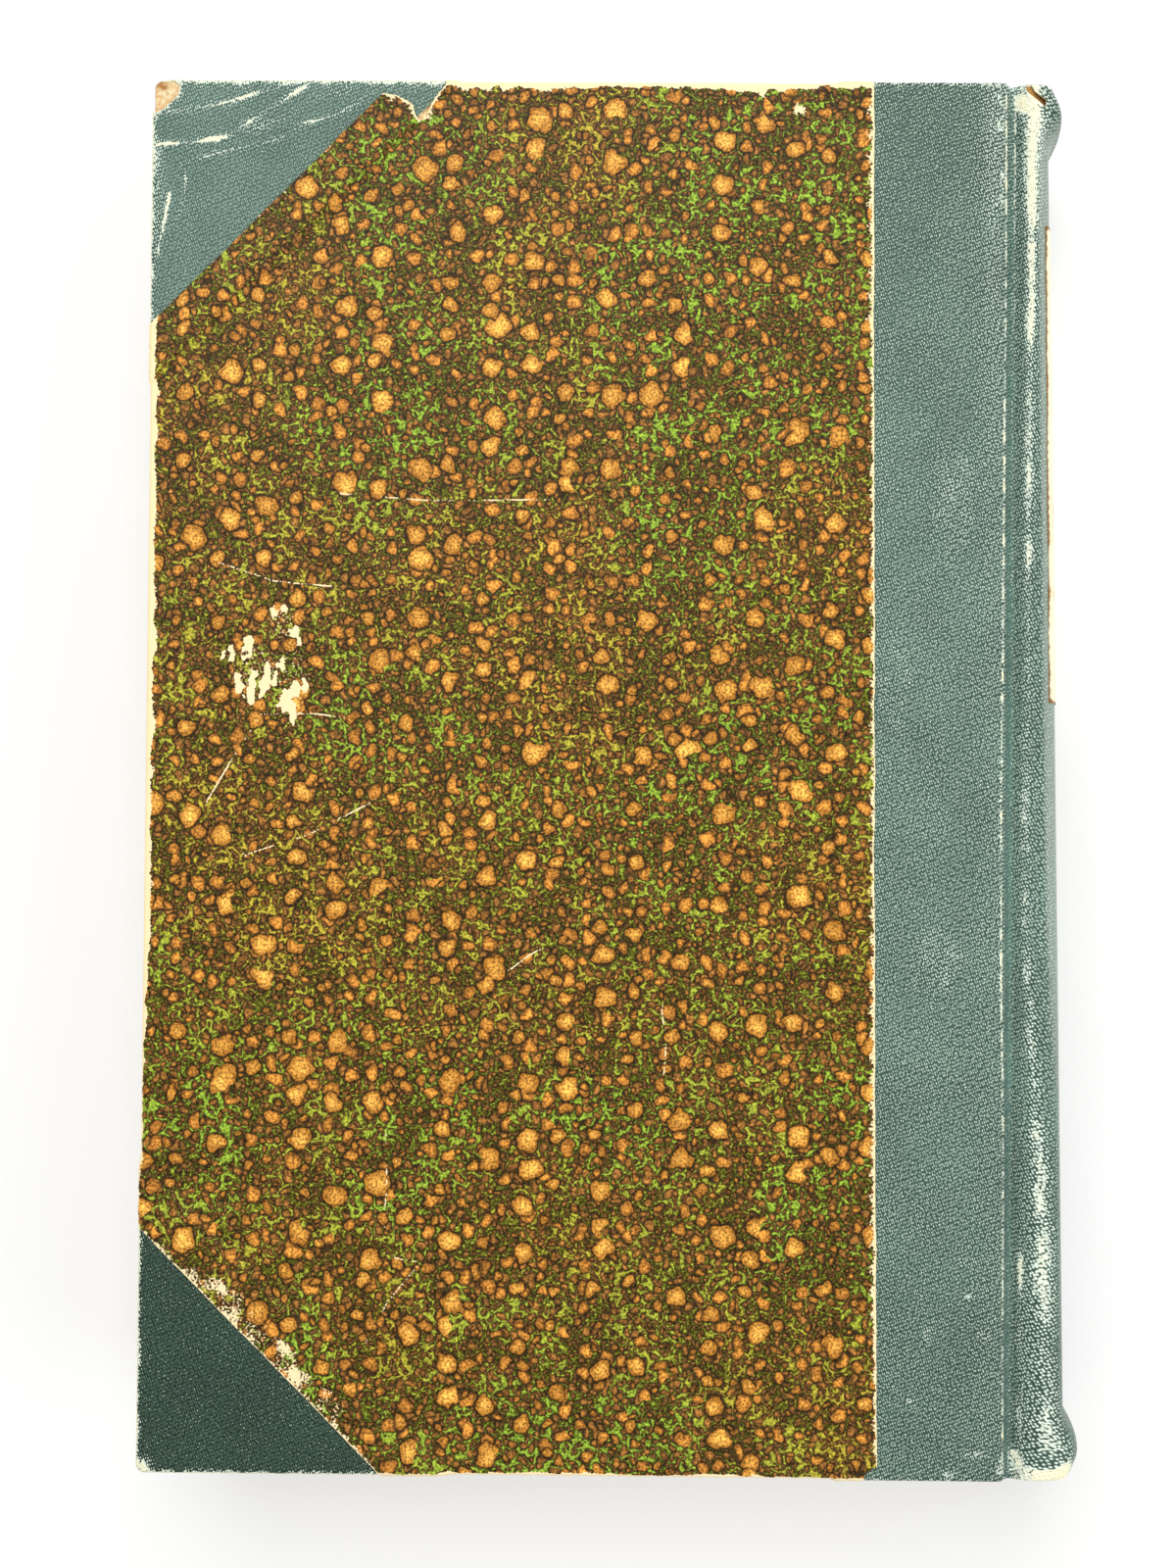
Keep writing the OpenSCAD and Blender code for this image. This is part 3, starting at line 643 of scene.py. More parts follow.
def makeSidePaper(side):
    shape = sidePapers[side]
    seed = shape["seed"]
    flapHead, flapTail, flapFore = bendStart + turnEnd, -bendStart - turnEnd, foreBend - turnEnd
    start, end = shape["tail"][-1], shape["head"][0]
    outline = np.concatenate([
        [(flapFore, start[1])], [(flapFore, end[1])],
        ragged(shape["head"], 1.2, 0.06, seed),
        ragged(shape["headTear"], 0.5, 0.16, seed + 1)[1:],
        [(shape["headTear"][-1][0], flapHead)], [(shape["spineSide"][0][0], flapHead)],
        ragged(shape["spineSide"], 0.9, 0.07, seed + 2),
        ragged(shape["tailTear"], 0.5, 0.12, seed + 3)[1:],
        [(shape["tailTear"][-1][0], flapTail)], [(shape["tail"][0][0], flapTail)],
        ragged(shape["tail"], 1.2, 0.06, seed + 4),
    ])
    hidden, strip, step = covering["hiddenLeg"], covering["stripStart"], covering["step"]
    pastStrip = 58  # a line a little past the paper's end
    climb = [-0.02, step * 0.2, step * 0.4, step * 0.6, step * 0.8, step]
    rows = []  # where the paper bends over an edge, climbs the cloth or is worn
    for sign in (1, -1):
        end = [(foreX + 50, sign * bendStart), (pastStrip, sign * bendStart)]
        rows.append((end, [sign * s for s in bendRows], 1.7))
    rows.append(([(foreBend, -98), (foreBend, 98)], bendRows, 1.7))
    rows.append(([(strip, -149), (strip, 149)], climb, 3))
    for sign in (1, -1):
        cornerEdge = [(foreX, sign * (boardHalf - hidden)), (foreX + hidden, sign * boardHalf)]
        rows.append((cornerEdge, [-sign * offset for offset in climb], 3))
    for inset in (1.0, 2.2):  # the worn edges
        rows.append(([(foreBend + inset, -96), (foreBend + inset, 96)], [0], 1.4))
        rows.append(([(-48, bendStart - inset), (55, bendStart - inset)], [0], 1.4))
    if side == "back":
        rows += [(scratch, [-0.3, -0.1, 0.1, 0.3], 0.7) for scratch in paperScratches]
    fill = [hexPoints(flapFore, pastStrip, flapTail, flapHead, 2.9)] + [rowPoints(*row) for row in rows]
    if side == "back":
        fill += [hexPoints(*patch) for patch in paperWear["finePatches"]]

    def place(u, v, lift):
        return asCover(side, *placeOnBoard(u, v, paperRise(u, v) + lift))

    return makeSheet(f"{side}SidePaper", outline, np.concatenate(fill), place, paper,
                     {"bare": paperBareness(side)}, paperFinish, flip=side == "front")


for side in ("back", "front"):
    piece = makeSidePaper(side)
    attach(piece, f"{side}_cover")
    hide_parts(f"{side}_side_paper")
print("side papers laid")

# The cloth corners

cornerWear = {
    "creaseHeight": 0.28,
    "creases": [  # line, half width and strength
        ([(-100.3, 135.5), (-91.8, 136.1), (-83.8, 137.6)], 0.42, 0.75),
        ([(-83.8, 137.6), (-82.3, 139.4), (-74.3, 144.5), (-68.0, 148.6)], 0.7, 0.5),
        ([(-87.2, 144.3), (-83.6, 145.3), (-77.1, 147.5), (-71.6, 149.2)], 0.5, 0.55),
        ([(-98, 142.6), (-93, 143.2), (-87.5, 144.3)], 0.7, 0.36),
        ([(-95, 131.4), (-88.4, 133.4), (-82.2, 134.9), (-74.2, 136.6), (-68.9, 140.2), (-61.7, 142.0),
          (-53.4, 147.2)], 0.36, 0.45),
        ([(-86, 137.0), (-78, 139.4), (-70, 143.6)], 1.6, 0.24),
        ([(-66, 146), (-58, 147.6)], 1.4, 0.26),
        ([(-94.7, 130.8), (-94.1, 128.2), (-94.4, 124.4), (-96.3, 118.0)], 0.35, 0.36),
        ([(-97.6, 124.8), (-98.6, 118.9), (-100.0, 111.8)], 0.55, 0.7),
        ([(-100.2, 136), (-100.0, 122), (-101.2, 112)], 1.5, 0.34),
    ],
    "peel": [  # the hole at the tip, where the cloth is gone
        (-104.5, 149.2), (-101.5, 150.6), (-98.3, 150.6), (-96.4, 149.3), (-95.5, 148.2), (-95.9, 146.4),
        (-97.6, 144.7), (-98.8, 143.4), (-100.6, 142.5), (-102.2, 142.9), (-104.5, 143.6)],
    "edgeDepth": 0.75,  # how far in from the edges the cloth is rubbed
    "peeledDepth": 1.5,  # and on the peeled corner
    "tipDepth": 4.5,
    "onEdge": 0.62,  # rub of the board's thickness, past the arris
    # pale specks painted as highlights on the grain's tops, over the whole corner
    "speckledHighlights": 0.12,
}
peelRim = cornerWear["peel"] + cornerWear["peel"][:1]


def clothRubAndHighlight(side, end):
    seed = 31 + (side == "front") * 7 + (end > 0) * 3
    peeled = side == "back" and end > 0

    def rubAndHighlight(u, v):
        wave = drift(u, v, 7, seed) * 0.5 + drift(u, v, 1.9, seed + 1) * 0.5
        fromFore, fromEnd = u - foreX, boardHalf - np.abs(v)
        deep = cornerWear["peeledDepth"] if peeled else cornerWear["edgeDepth"]
        edge = np.minimum(fromFore, fromEnd)
        arris = 0.85 * smooth((deep + 0.6 * wave - edge) / deep) + 0.4 * smooth(-edge / 0.4)
        flat = cornerWear["onEdge"] + 0.3 * wave + 0.2 * drift(u, v, 1.3, seed + 4)
        total = arris + (flat - arris) * smooth((-0.7 - edge) / 0.7)
        tip = 0.95 * smooth((cornerWear["tipDepth"] + wave - np.hypot(fromFore, fromEnd)) / 3)
        total = np.maximum.reduce([total, tip, cornerWear["speckledHighlights"] + 0.05 * wave])
        if peeled:
            patchy = 1.5 + 0.8 * drift(u, v, 3.1, seed + 2)
            for line, width, strength in cornerWear["creases"]:
                total = np.maximum(total, strength * patchy * fading(distanceTo(line, u, v), width))
            total = np.maximum(total, 0.9 * smooth((1.0 - distanceTo(peelRim, u, v)) / 0.8))
        return total
    return rubAndHighlight


def placeOnCorner(u, v, lift):
    bend, centre = covering["edgeRound"], covering["cornerRound"]
    sign = np.sign(v)
    pastFore, pastEnd = foreX + centre - u, np.abs(v) - boardHalf + centre
    rounded = (pastFore > 0) & (pastEnd > 0)
    reach = np.hypot(pastFore, pastEnd) + 1e-9
    past = np.where(rounded, reach, np.maximum(pastFore, pastEnd))
    toFore = np.where(rounded, pastFore / reach, (pastFore >= pastEnd) * 1.0)
    toEnd = np.where(rounded, pastEnd / reach, (pastFore < pastEnd) * 1.0)
    out, up, turn = foldOver(past - centre + bend, bend, boardThickness, lift)
    baseU = np.where(rounded, foreX + centre, np.where(toFore > 0, foreX + centre, u))
    baseV = np.where(rounded, boardHalf - centre, np.where(toEnd > 0, boardHalf - centre, np.abs(v)))
    bent = past - centre + bend > 0
    x = np.where(bent, baseU - toFore * (centre + out), u)
    y = np.where(bent, baseV + toEnd * (centre + out), np.abs(v))
    inset = np.where(turn > math.pi * 0.75, np.minimum(-out, covering["turnIn"]), -9)
    x = np.where(inset > 0, np.maximum(x, foreX + inset), x)
    y = np.where(inset > 0, np.minimum(y, boardHalf - inset), y)
    return x, sign * y, outerZ + np.where(bent, up, lift)


def makeCorner(side, end):
    peeled = side == "back" and end > 0
    leg, centre = covering["hiddenLeg"], covering["cornerRound"]
    inwardX, inwardY = foreX + centre, boardHalf - centre  # centre of the rounded corner
    pleat = 0.6  # how far the cloth is drawn in past the board at the tip
    reach = centre - covering["edgeRound"] + toInside + pleat
    slope = turnEnd - toInside - pleat - centre + covering["edgeRound"]
    flapFore, flapEnd = foreBend - turnEnd, bendStart + turnEnd
    tip = [(inwardX - reach * math.cos(a), inwardY + reach * math.sin(a))
           for a in np.linspace(0, math.pi / 2, 15)]
    legX, legY = foreX + leg, boardHalf - leg
    outline = np.concatenate([
        ragged([(legX, boardHalf), (foreX, legY)], 1.5, 0.08, 5),
        resample([(foreX, legY), (flapFore, legY)], 2)[1:],
        resample([(flapFore, legY), (flapFore, inwardY - slope)], 3)[1:],
        resample([(flapFore, inwardY - slope), tip[0]], 1.2)[1:],
        tip[1:],
        resample([tip[-1], (inwardX + slope, flapEnd)], 1.2)[1:],
        resample([(inwardX + slope, flapEnd), (legX, flapEnd)], 3)[1:],
        resample([(legX, flapEnd), (legX, boardHalf)], 2)[1:-1],
    ])
    rings = [(inwardX - r * math.cos(a), inwardY + r * math.sin(a))
             for r in np.linspace(0.4, reach - 0.4, 14) for a in np.linspace(0.03, math.pi / 2 - 0.03, 13)]
    rows = [
        rowPoints([(foreX + 2, bendStart), (legX, bendStart)], bendRows, 1.2),
        rowPoints([(foreBend, legY), (foreBend, boardHalf - 2)], bendRows, 1.2),
        np.array(rings),
    ]
    if peeled:
        rows += [rowPoints(line, [-0.7 * width, 0, 0.7 * width], 0.9)
                 for line, width, _ in cornerWear["creases"]]
    fill = np.concatenate([hexPoints(flapFore, legX, legY, flapEnd, 1.15 if peeled else 1.8)] + rows)
    if end < 0:
        outline = outline[::-1] * (1, -1)
        fill = fill * (1, -1)
    cuts = [ragged(peelRim, 0.5, 0.1, 8)[:-1]] if peeled else []

    def place(u, v, lift):
        swell = 0 * u
        if peeled:
            for line, width, strength in cornerWear["creases"]:
                swell = np.maximum(swell, strength * fading(distanceTo(line, u, v), 1.1 + width))
            swell = swell * smooth((u - foreX) / 2) * smooth((boardHalf - v) / 2)
            swell = swell * cornerWear["creaseHeight"]
        return asCover(side, *placeOnCorner(u, v, lift + swell * (lift > 0)))

    name = "HeadCorner" if end > 0 else "TailCorner"
    paintedShade = 1.0 if end < 0 else 0.0  # painted shade: the tail corners are darker than the rest
    marks = {
        "rubAndHighlight": clothRubAndHighlight(side, end),
        "pressedAndShaded": lambda u, v: 0 * u,
        "paintedShade": lambda u, v: paintedShade + 0 * u,
    }
    return makeSheet(side + name, outline, fill, place, cloth, marks, clothFinish, cuts, side == "front")


for side in ("back", "front"):
    for end, word in ((1, "head"), (-1, "tail")):
        piece = makeCorner(side, end)
        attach(piece, f"{side}_cover")
        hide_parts(f"{side}_{word}_corner")
print("cloth corners turned in")

# Joint and back, on one line of the cloth's outer face

backShape = {
    "tip": (1.8, leavesHigh[2] - midZ),  # tip of the shoulder, from its foot
    "round": 2.5,  # how far the middle of the back stands out past the tips
    "flankOff": 0.67,  # cloth's underside off the leaves beside the shoulder
    "standOff": 2.7,  # and on the back
    "flankTurn": 129.806,  # where the cloth leaves the flank, in degrees round the tip
    "crease": (-2.25, 18.98),  # bottom of the joint's groove, from the shoulder's foot
    "crest": (1.3, 20.66),  # top of the hump beside it
    "boardEase": 1,  # the board's eased joint edge under the cloth
    "lean": 4.2,  # how much further the head stands out than the tail
    "flare": 3,  # how far the caps stand out
    "capLength": 15,
    "inlay": 1.2,  # inlay and its glue, what the caps turn in over
    "leastCore": 0.12,  # what the cloth turns in over where nothing is under it
}
tipX, tipZ = backShape["tip"]
backRadius = (tipZ ** 2 + backShape["round"] ** 2) / (2 * backShape["round"])
backCentre = tipX + backShape["round"] - backRadius
backTurn = math.degrees(math.asin(tipZ / backRadius))
capEnd = boardHalf + cloth
seamX = -0.4  # from the shoulder's foot: here the cover's cloth ends and the back's starts


def bezier(a, b, c, d, count):
    t = np.linspace(0, 1, count)[:, None]
    a, b, c, d = (np.array(p, float) for p in (a, b, c, d))
    return a * (1 - t) ** 3 + 3 * b * t * (1 - t) ** 2 + 3 * c * t ** 2 * (1 - t) + d * t ** 3


# The cloth's outer face round a shoulder's tip, step counting from the flank to the back
def roundTip(step):
    share = step / 8
    off = backShape["flankOff"] + (backShape["standOff"] - backShape["flankOff"]) * smooth(share) + cloth
    turn = np.radians(backShape["flankTurn"] + (backTurn - backShape["flankTurn"]) * share)
    return np.stack([tipX + off * np.cos(turn), tipZ + off * np.sin(turn)], -1)


# From the board over the joint to the middle of the back. Gives how far each point is along the
# sheet, its x and z from the shoulder's foot, and its share of the caps' lean and flare.
def clothLine():
    top = outerZ + cloth - midZ
    ease = backShape["boardEase"]
    easeCentre = np.array([edgeX - footX - ease, outerZ - midZ - ease])
    angles = np.radians(np.linspace(90, 22, 12))
    overEdge = easeCentre + (ease + cloth) * np.stack([np.cos(angles), np.sin(angles)], 1)
    crease, crest = backShape["crease"], backShape["crest"]
    steps = np.linspace(5.0, 8, 13)
    tip = roundTip(steps)
    onTip = (tip[1] - tip[0]) / np.hypot(*(tip[1] - tip[0]))
    outer = backRadius + backShape["standOff"] + cloth
    turns = np.radians(np.linspace(backTurn, 0, 30)[1:])
    points = np.concatenate([  # the curves' handles are given
        [(-50, top), (-30, top), (-12, top), (-7, top)], overEdge,
        bezier(overEdge[-1], overEdge[-1] + (0.3, -0.8), (-2.75, 19.0), crease, 9)[1:],
        bezier(crease, (-1.5, 18.96), (-0.6, 20.35), crest, 16)[1:],
        bezier(crest, (1.9, 20.77), tip[0] - 0.4 * onTip, tip[0], 8)[1:],
        tip[1:],
        np.stack([backCentre + outer * np.cos(turns), outer * np.sin(turns)], 1),
    ])
    reach = np.concatenate([[0], np.cumsum(np.hypot(*np.diff(points, axis=0).T))])
    onHump = np.clip((points[:, 0] - seamX) / (tip[0][0] - seamX), 0, 1)
    shares = np.where(points[:, 0] < tip[0][0], 0.5 * onHump ** 2, 1.0)
    onBack = len(points) - len(turns)
    shares[onBack - len(steps):onBack] = smooth(steps / 10)
    shares[onBack:onBack + 3] = (0.93, 0.97, 0.99)
    return reach + footX - 50, points, shares


lineU, lineXZ, lineShare = clothLine()
middleU = lineU[-1]  # the middle of the back, as far along the sheet
seamU = float(np.interp(seamX, lineXZ[:, 0], lineU))
lineSlope = np.gradient(lineXZ, lineU, axis=0)


def onLine(u):
    past = u > middleU
    back = np.where(past, 2 * middleU - u, u)
    x, z, share = (np.interp(back, lineU, values) for values in (lineXZ[:, 0], lineXZ[:, 1], lineShare))
    slopeX, slopeZ = np.interp(back, lineU, lineSlope[:, 0]), np.interp(back, lineU, lineSlope[:, 1])
    size = np.hypot(slopeX, slopeZ)
    return x, z, -slopeZ / size, slopeX / size, share, np.where(past, -1.0, 1.0)


# The caps' lean and flare: how far the cloth is drawn out at head and tail
def pull(y):
    fromEnd = capEnd - np.abs(y)
    turn = np.clip((fromEnd / backShape["capLength"] - 0.4) / 0.6, -0.4 / 0.6, 1)
    lean = backShape["lean"] * (capEnd - y) / (2 * capEnd)
    return lean + backShape["flare"] * (1 + np.cos(math.pi * turn)) / 2


def placeOnBack(u, v, lift):
    x, z, normX, normZ, share, mirrored = onLine(u)
    onBoard = smooth((edgeX - footX - x) / 1.2 + 0.5)
    foldX, foldZ = normX * (1 - onBoard), normZ * (1 - onBoard) + onBoard
    size = np.hypot(foldX, foldZ)
    foldX, foldZ = foldX / size, foldZ / size
    least = backShape["leastCore"]
    boardUnder = np.maximum(z - cloth - (innerZ - midZ), least) * smooth((seamX - x) / 2.6) + least
    inlayUnder = least + (backShape["inlay"] - least) * smooth((x - seamX) / 4.6)
    core = np.minimum(np.where(x < seamX, boardUnder, inlayUnder), boardThickness)
    bend = np.where(x > 0, core / 2, np.minimum(covering["edgeRound"], core / 2))
    out, up, turn = foldOver(np.abs(v) - boardHalf + bend, bend, core, 0.0 * u)
    lifted = lift * np.abs(np.cos(turn))
    liftX = np.where(turn < math.pi / 2, normX, -foldX) * lifted
    liftZ = np.where(turn < math.pi / 2, normZ, -foldZ) * lifted
    y = np.sign(v) * (boardHalf + out + lift * np.sin(turn))
    px = x - normX * cloth + foldX * up + liftX + pull(y) * share
    pz = z - normZ * cloth + foldZ * up + liftZ
    return px + footX, y, midZ + pz * mirrored


jointWear = {
    "boardEdge": [(83.0, 152), (83.1, 114.2), (82.8, 71.9), (82.6, 29.7), (82.3, -1.8), (82.4, -43.6),
                  (83.0, -74.9), (83.1, -152)],
    "boardEdgeWidth": 0.4,
    "crest": [(88.8, 152), (88.6, 114.2), (88.3, 71.9), (88, 29.7), (87.7, -3.8), (87.6, -33.1),
              (89, -64.4), (90.1, -95.6), (90.4, -152)],
    "crestWidth": 1.25,
    "grooveEnd": 85.5,  # x where the pressed groove turns up
    "faintLine": (85.4, 0.26),  # x and width
    "hump": (85.9, 91.6),  # x from and to, where the grain's tops are rubbed, with pale specks painted as highlights, more towards the tail
    "besideEdge": (80.5, 4.5),  # x and width of the band beside the board's edge
    "capDepth": (9.5, 7.5),  # at head and tail
    "rimDepth": 3,
    "steepFrom": 91.5,  # x
    "front": 0.8,  # the front joint's wear, as a share
}


# Pale scuffs on the strip and the joint: middle, half sizes and strength
clothScuffs = [
    (76, -103.6, 4, 0.5, 0.6), (75.5, -110.6, 1.3, 1.6, 0.6), (66.9, -118.9, 0.7, 1.6, 0.6),
    (79, -118.9, 2.2, 1.1, 0.5), (63.4, -133.2, 1.3, 0.8, 0.65), (68.9, -130.7, 1.5, 0.4, 0.55),
    (77, -143.8, 2.6, 0.7, 0.6), (71.9, -148.3, 1.8, 1, 0.6), (82.6, -146.8, 1.3, 2, 0.85),
    (86, -146.2, 1.8, 3.2, 0.8), (87, -106, 0.7, 6, 0.6), (86.9, -121, 0.8, 4, 0.55),
    (86.8, -138, 0.7, 6, 0.6), (80.8, 142.5, 2.4, 8, 0.5), (82, 126, 0.9, 8, 0.46),
    (86.4, 146, 1.6, 3, 0.7), (60, 20, 5, 12, 0.36), (68, -40, 7, 9, 0.36), (72, 60, 6, 14, 0.36),
]


# How far along the sheet from the back cover's side, and x there. The front joint wears as the
# back one does.
def acrossBook(u):
    inward = np.where(u > middleU, 2 * middleU - u, u)
    return inward, np.interp(inward, lineU, lineXZ[:, 0]) + footX


def backRubAndHighlight(u, v):
    x = acrossBook(u)[1]
    wave = drift(u, v, 9, 51) * 0.5 + drift(u, v, 2.2, 52) * 0.5
    head, tail = smooth((v - 20) / 130), smooth((-v - 20) / 130)
    edgeLine = 0.84 + 0.3 * wave + 0.4 * drift(u, v, 1.6, 56)
    edgeLine = edgeLine * fading(distanceTo(jointWear["boardEdge"], x, v), jointWear["boardEdgeWidth"])
    faintX, faintWidth = jointWear["faintLine"]
    faint = (0.78 + 0.5 * wave) * fading(x - faintX, faintWidth) * head
    width = jointWear["crestWidth"] + 0.35 * wave + 1.3 * smooth((v - 95) / 45) + 0.9 * tail
    crest = 0.66 + 0.36 * head + 0.3 * smooth((v - 112) / 30) + 0.4 * wave
    crest = np.minimum(crest, 0.98 - 0.2 * tail) * fading(distanceTo(jointWear["crest"], x, v), width)
    humpStart, humpEnd = jointWear["hump"]
    # the hump's pale specks, more towards the tail, are rubbed wear and painted highlights
    hump = (0.2 + 0.26 * tail) * smooth((x - humpStart) / 0.8) * smooth((humpEnd + tail - x) / 1.6)
    fromEnd = boardHalf + 0.6 - np.abs(v)
    onBack = smooth((x - 84) / 3)
    patches = 0.78 + 0.26 * drift(u, v, 2.6, 53) + 0.3 * drift(u, v, 6.1, 54)
    headCap, tailCap = (patches * smooth((deep + 3 * wave - fromEnd) / 6) for deep in jointWear["capDepth"])
    caps = onBack * np.where(v > 0, headCap, tailCap)
    rim = onBack * (0.8 + 0.3 * wave + 0.4 * drift(u, v, 1.7, 55))
    rim = rim * smooth((jointWear["rimDepth"] + wave - fromEnd) / 2.4)
    deep = np.where(v > 0, 2.4 + 2.6 * smooth((x - 72) / 9), 1.4)
    ends = 0.76 * smooth((deep + 0.9 * wave - fromEnd) / deep)
    bandX, bandWidth = jointWear["besideEdge"]
    besideEdge = smooth(1 - np.abs(x - bandX) / bandWidth) * (0.06 + 0.16 * head)
    # pale specks painted as highlights on the grain's tops everywhere, more towards the head and beside the
    # board's edge
    highlightSpecks = 0.29 + 0.06 * head * smooth((x - 60) / 20) + 0.06 * wave + besideEdge
    total = np.maximum.reduce([edgeLine, faint, crest, hump, 1.08 * caps, rim, ends, highlightSpecks])
    for midX, midV, halfX, halfV, strength in clothScuffs:
        near = smooth(1.5 - np.hypot((x - midX) / halfX, (v - midV) / halfV))
        total = np.maximum(total, strength * (1.2 + 0.6 * wave) * near)
    return total * np.where(u > middleU, jointWear["front"], 1.0)


# Painted shade on the cloth of the back and the joints, darker towards head and tail
def backPaintedShade(u, v):
    return 0.06 + 0.3 * smooth((v - 45) / 95) + 0.25 * smooth((-v - 45) / 95)


def onShoulder(inward):
    return smooth((middleU - inward - 8) / 8)


# The joint is pressed smooth in its groove; the shoulder's steep side, more towards the tail, gets the same
# darker, smooth colour as painted shade
def backPressedAndShaded(u, v):
    inward, x = acrossBook(u)
    groove = smooth((x - edgeX - 0.1) / 0.5) * smooth((jointWear["grooveEnd"] - x) / 0.6)
    # painted shade: the shoulder's steep side darker and smooth, more towards the tail
    steep = (0.4 + 0.4 * smooth((-50 - v) / 30)) * smooth((x - jointWear["steepFrom"]) / 1.5)
    return np.maximum(groove, steep * onShoulder(inward))


# Painted sheen: the steep side of the back painted pale grey, less towards the tail and the ends
def backPaintedSheen(u, v):
    inward, x = acrossBook(u)
    start = np.interp(v, (-130, -96, -64, -30, 120), (92.4, 92, 91.2, 90.4, 89.6))
    shoulder = onShoulder(inward) * smooth((v + 90) / 60)
    return 0.62 * smooth((x - start) / 0.9) * smooth((boardHalf - 6 - np.abs(v)) / 8) * shoulder


def makeStrip(side):
    seed = 61 if side == "back" else 71
    start, end = covering["stripStart"], seamU
    flap = boardHalf + turnEnd - covering["edgeRound"]
    jointStart, grooveStart = footX - 6.6, footX - 5.2
    across = np.arange(jointStart, grooveStart, 0.45), np.arange(grooveStart, end - 0.1, 0.28)
    across = np.concatenate(across)
    flapEdge = np.concatenate([np.arange(start, across[0] - 0.4, 2.5), across])
    outline = np.concatenate([
        [(u, -flap) for u in flapEdge],
        resample([(end, -flap), (end, flap)], 2.0),
        [(u, flap) for u in flapEdge[::-1]],
        ragged([(start, flap), (start, -flap)], 2.5, 0.05, seed)[1:-1],
    ])
    joint = [(u, v) for v in np.arange(-bendStart + 1.2, bendStart - 0.6, 1.25) for u in across]
    bends = rowPoints([(start, bendStart), (end, bendStart)], [s - 0.1 for s in bendRows], 0.8)
    turnIns = np.array([(u, bendStart + s) for u in across for s in np.arange(5, 18, 1.6)])
    fill = np.concatenate([hexPoints(start, footX - 7, -flap, flap, 1.15), joint, bends, bends * (1, -1),
                           turnIns, turnIns * (1, -1)])

    def place(u, v, lift):
        return asCover(side, *placeOnBack(u, v, lift))

    def onSheet(u):  # one sheet runs from cover to cover, so its pattern and wear do too
        return u if side == "back" else 2 * middleU - u

    marks = {
        "rubAndHighlight": lambda u, v: backRubAndHighlight(onSheet(u), v),
        "pressedAndShaded": lambda u, v: backPressedAndShaded(onSheet(u), v),
        "paintedShade": backPaintedShade,
    }
    return makeSheet(f"{side}JointCloth", outline, fill, place, cloth, marks, clothFinish,
                     flip=side == "front", flatten=lambda u, v: np.stack([onSheet(u), v], 1))


for side in ("back", "front"):
    piece = makeStrip(side)
    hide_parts(f"{side}_strip")
    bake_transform(piece)
print("joints covered")


def makeBackCloth():
    start, end = seamU, 2 * middleU - seamU
    flap = boardHalf + backShape["capLength"]
    outline = rectangle((start, -flap), (end, flap), 1.5, 2.0)
    hump = np.concatenate([np.arange(start + 0.28, start + 7.5, 0.36), np.arange(start + 7.7, middleU, 1.1)])
    across = np.concatenate([hump, [middleU], 2 * middleU - hump])
    caps = np.arange(135, 149.1, 0.7)
    along = np.concatenate([np.arange(-134, 134.1, 2.2), caps, -caps])
    overEnd = (0, 0.25, 0.5, 0.8, 1.1, 1.4, 1.7, 2.0, 2.3, 2.7, 4, 6.5, 9, 12)  # past the start of the bend
    body = [(u, v) for u in across for v in along]
    ends = [(u, sign * (boardHalf - 0.6 + s)) for u in across for sign in (1, -1) for s in overEnd]
    first, second = np.interp(np.array([87.9, 90.0]) - footX, lineXZ[:, 0], lineU)
    split = [(first - 0.7, 149.7), (first + 0.5, 149.8), (first + 1.1, 148.3), (second + 0.5, 146.5),
             (second + 0.3, 144.7), (second - 0.4, 145.9), (first - 0.2, 148.2)]  # at the head of the crest

    def place(u, v, lift):
        return np.stack(placeOnBack(u, v, lift), 1)

    marks = {"rubAndHighlight": backRubAndHighlight, "pressedAndShaded": backPressedAndShaded, "dustyAndSheen": backPaintedSheen, "paintedShade": backPaintedShade}
    return makeSheet("backCloth", outline, np.array(body + ends), place, cloth, marks, clothFinish, [split])


backCloth = makeBackCloth()
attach(backCloth, "book_block")
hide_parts("spine_cloth")
print("back covered")

# The label on the back, plain

labelLow, labelHigh = cadPlace("spine_label")
label = {
    "thickness": 0.2,
    "width": 42,  # along the curve of the back, and on to the shoulders' tips
    "paste": 0.03,
    "stains": 9,  # sizes of the fox marks and of the paper's fibres
    "fibres": 0.5,
    "paper": "#fbf5d2",
    "foxing": "#c79a55",
    "darkerEdge": "#8a6232",
}


# Laid label paper, sized and yellowed: even and matt, darker brown along its edges and foxed.
def makeLabelPaper(name):
    material, tree, place, edge = startMaterial(name, "sheetPlace", "darkerEdge")
    stains, fibres = (
        addNode(tree, "ShaderNodeTexNoise", {
            "Vector": place, "Scale": 1000 / label[kind], "Detail": detail}, flatNoise)
        for kind, detail in (("stains", 5.0), ("fibres", 3.0)))
    spots = addNode(tree, "ShaderNodeMapRange", {
        "Value": stains, "From Min": 0.55, "From Max": 0.78, "To Max": 0.55}, eased)
    foxed = addNode(tree, "ShaderNodeMix", {0: spots, 6: label["paper"], 7: label["foxing"]}, mixed)
    uneven = addNode(tree, "ShaderNodeMath", {0: stains, 1: 0.8, 2: edge}, timesPlus)
    brown = addNode(tree, "ShaderNodeMapRange", {"Value": uneven, "From Min": 0.75, "From Max": 1.3}, eased)
    toned = addNode(tree, "ShaderNodeMix", {0: brown, 6: foxed, 7: label["darkerEdge"]}, mixed)
    endMaterial(tree, toned, 0.8, fibres, 0.03, {"Specular IOR Level": 0.25})
    return material


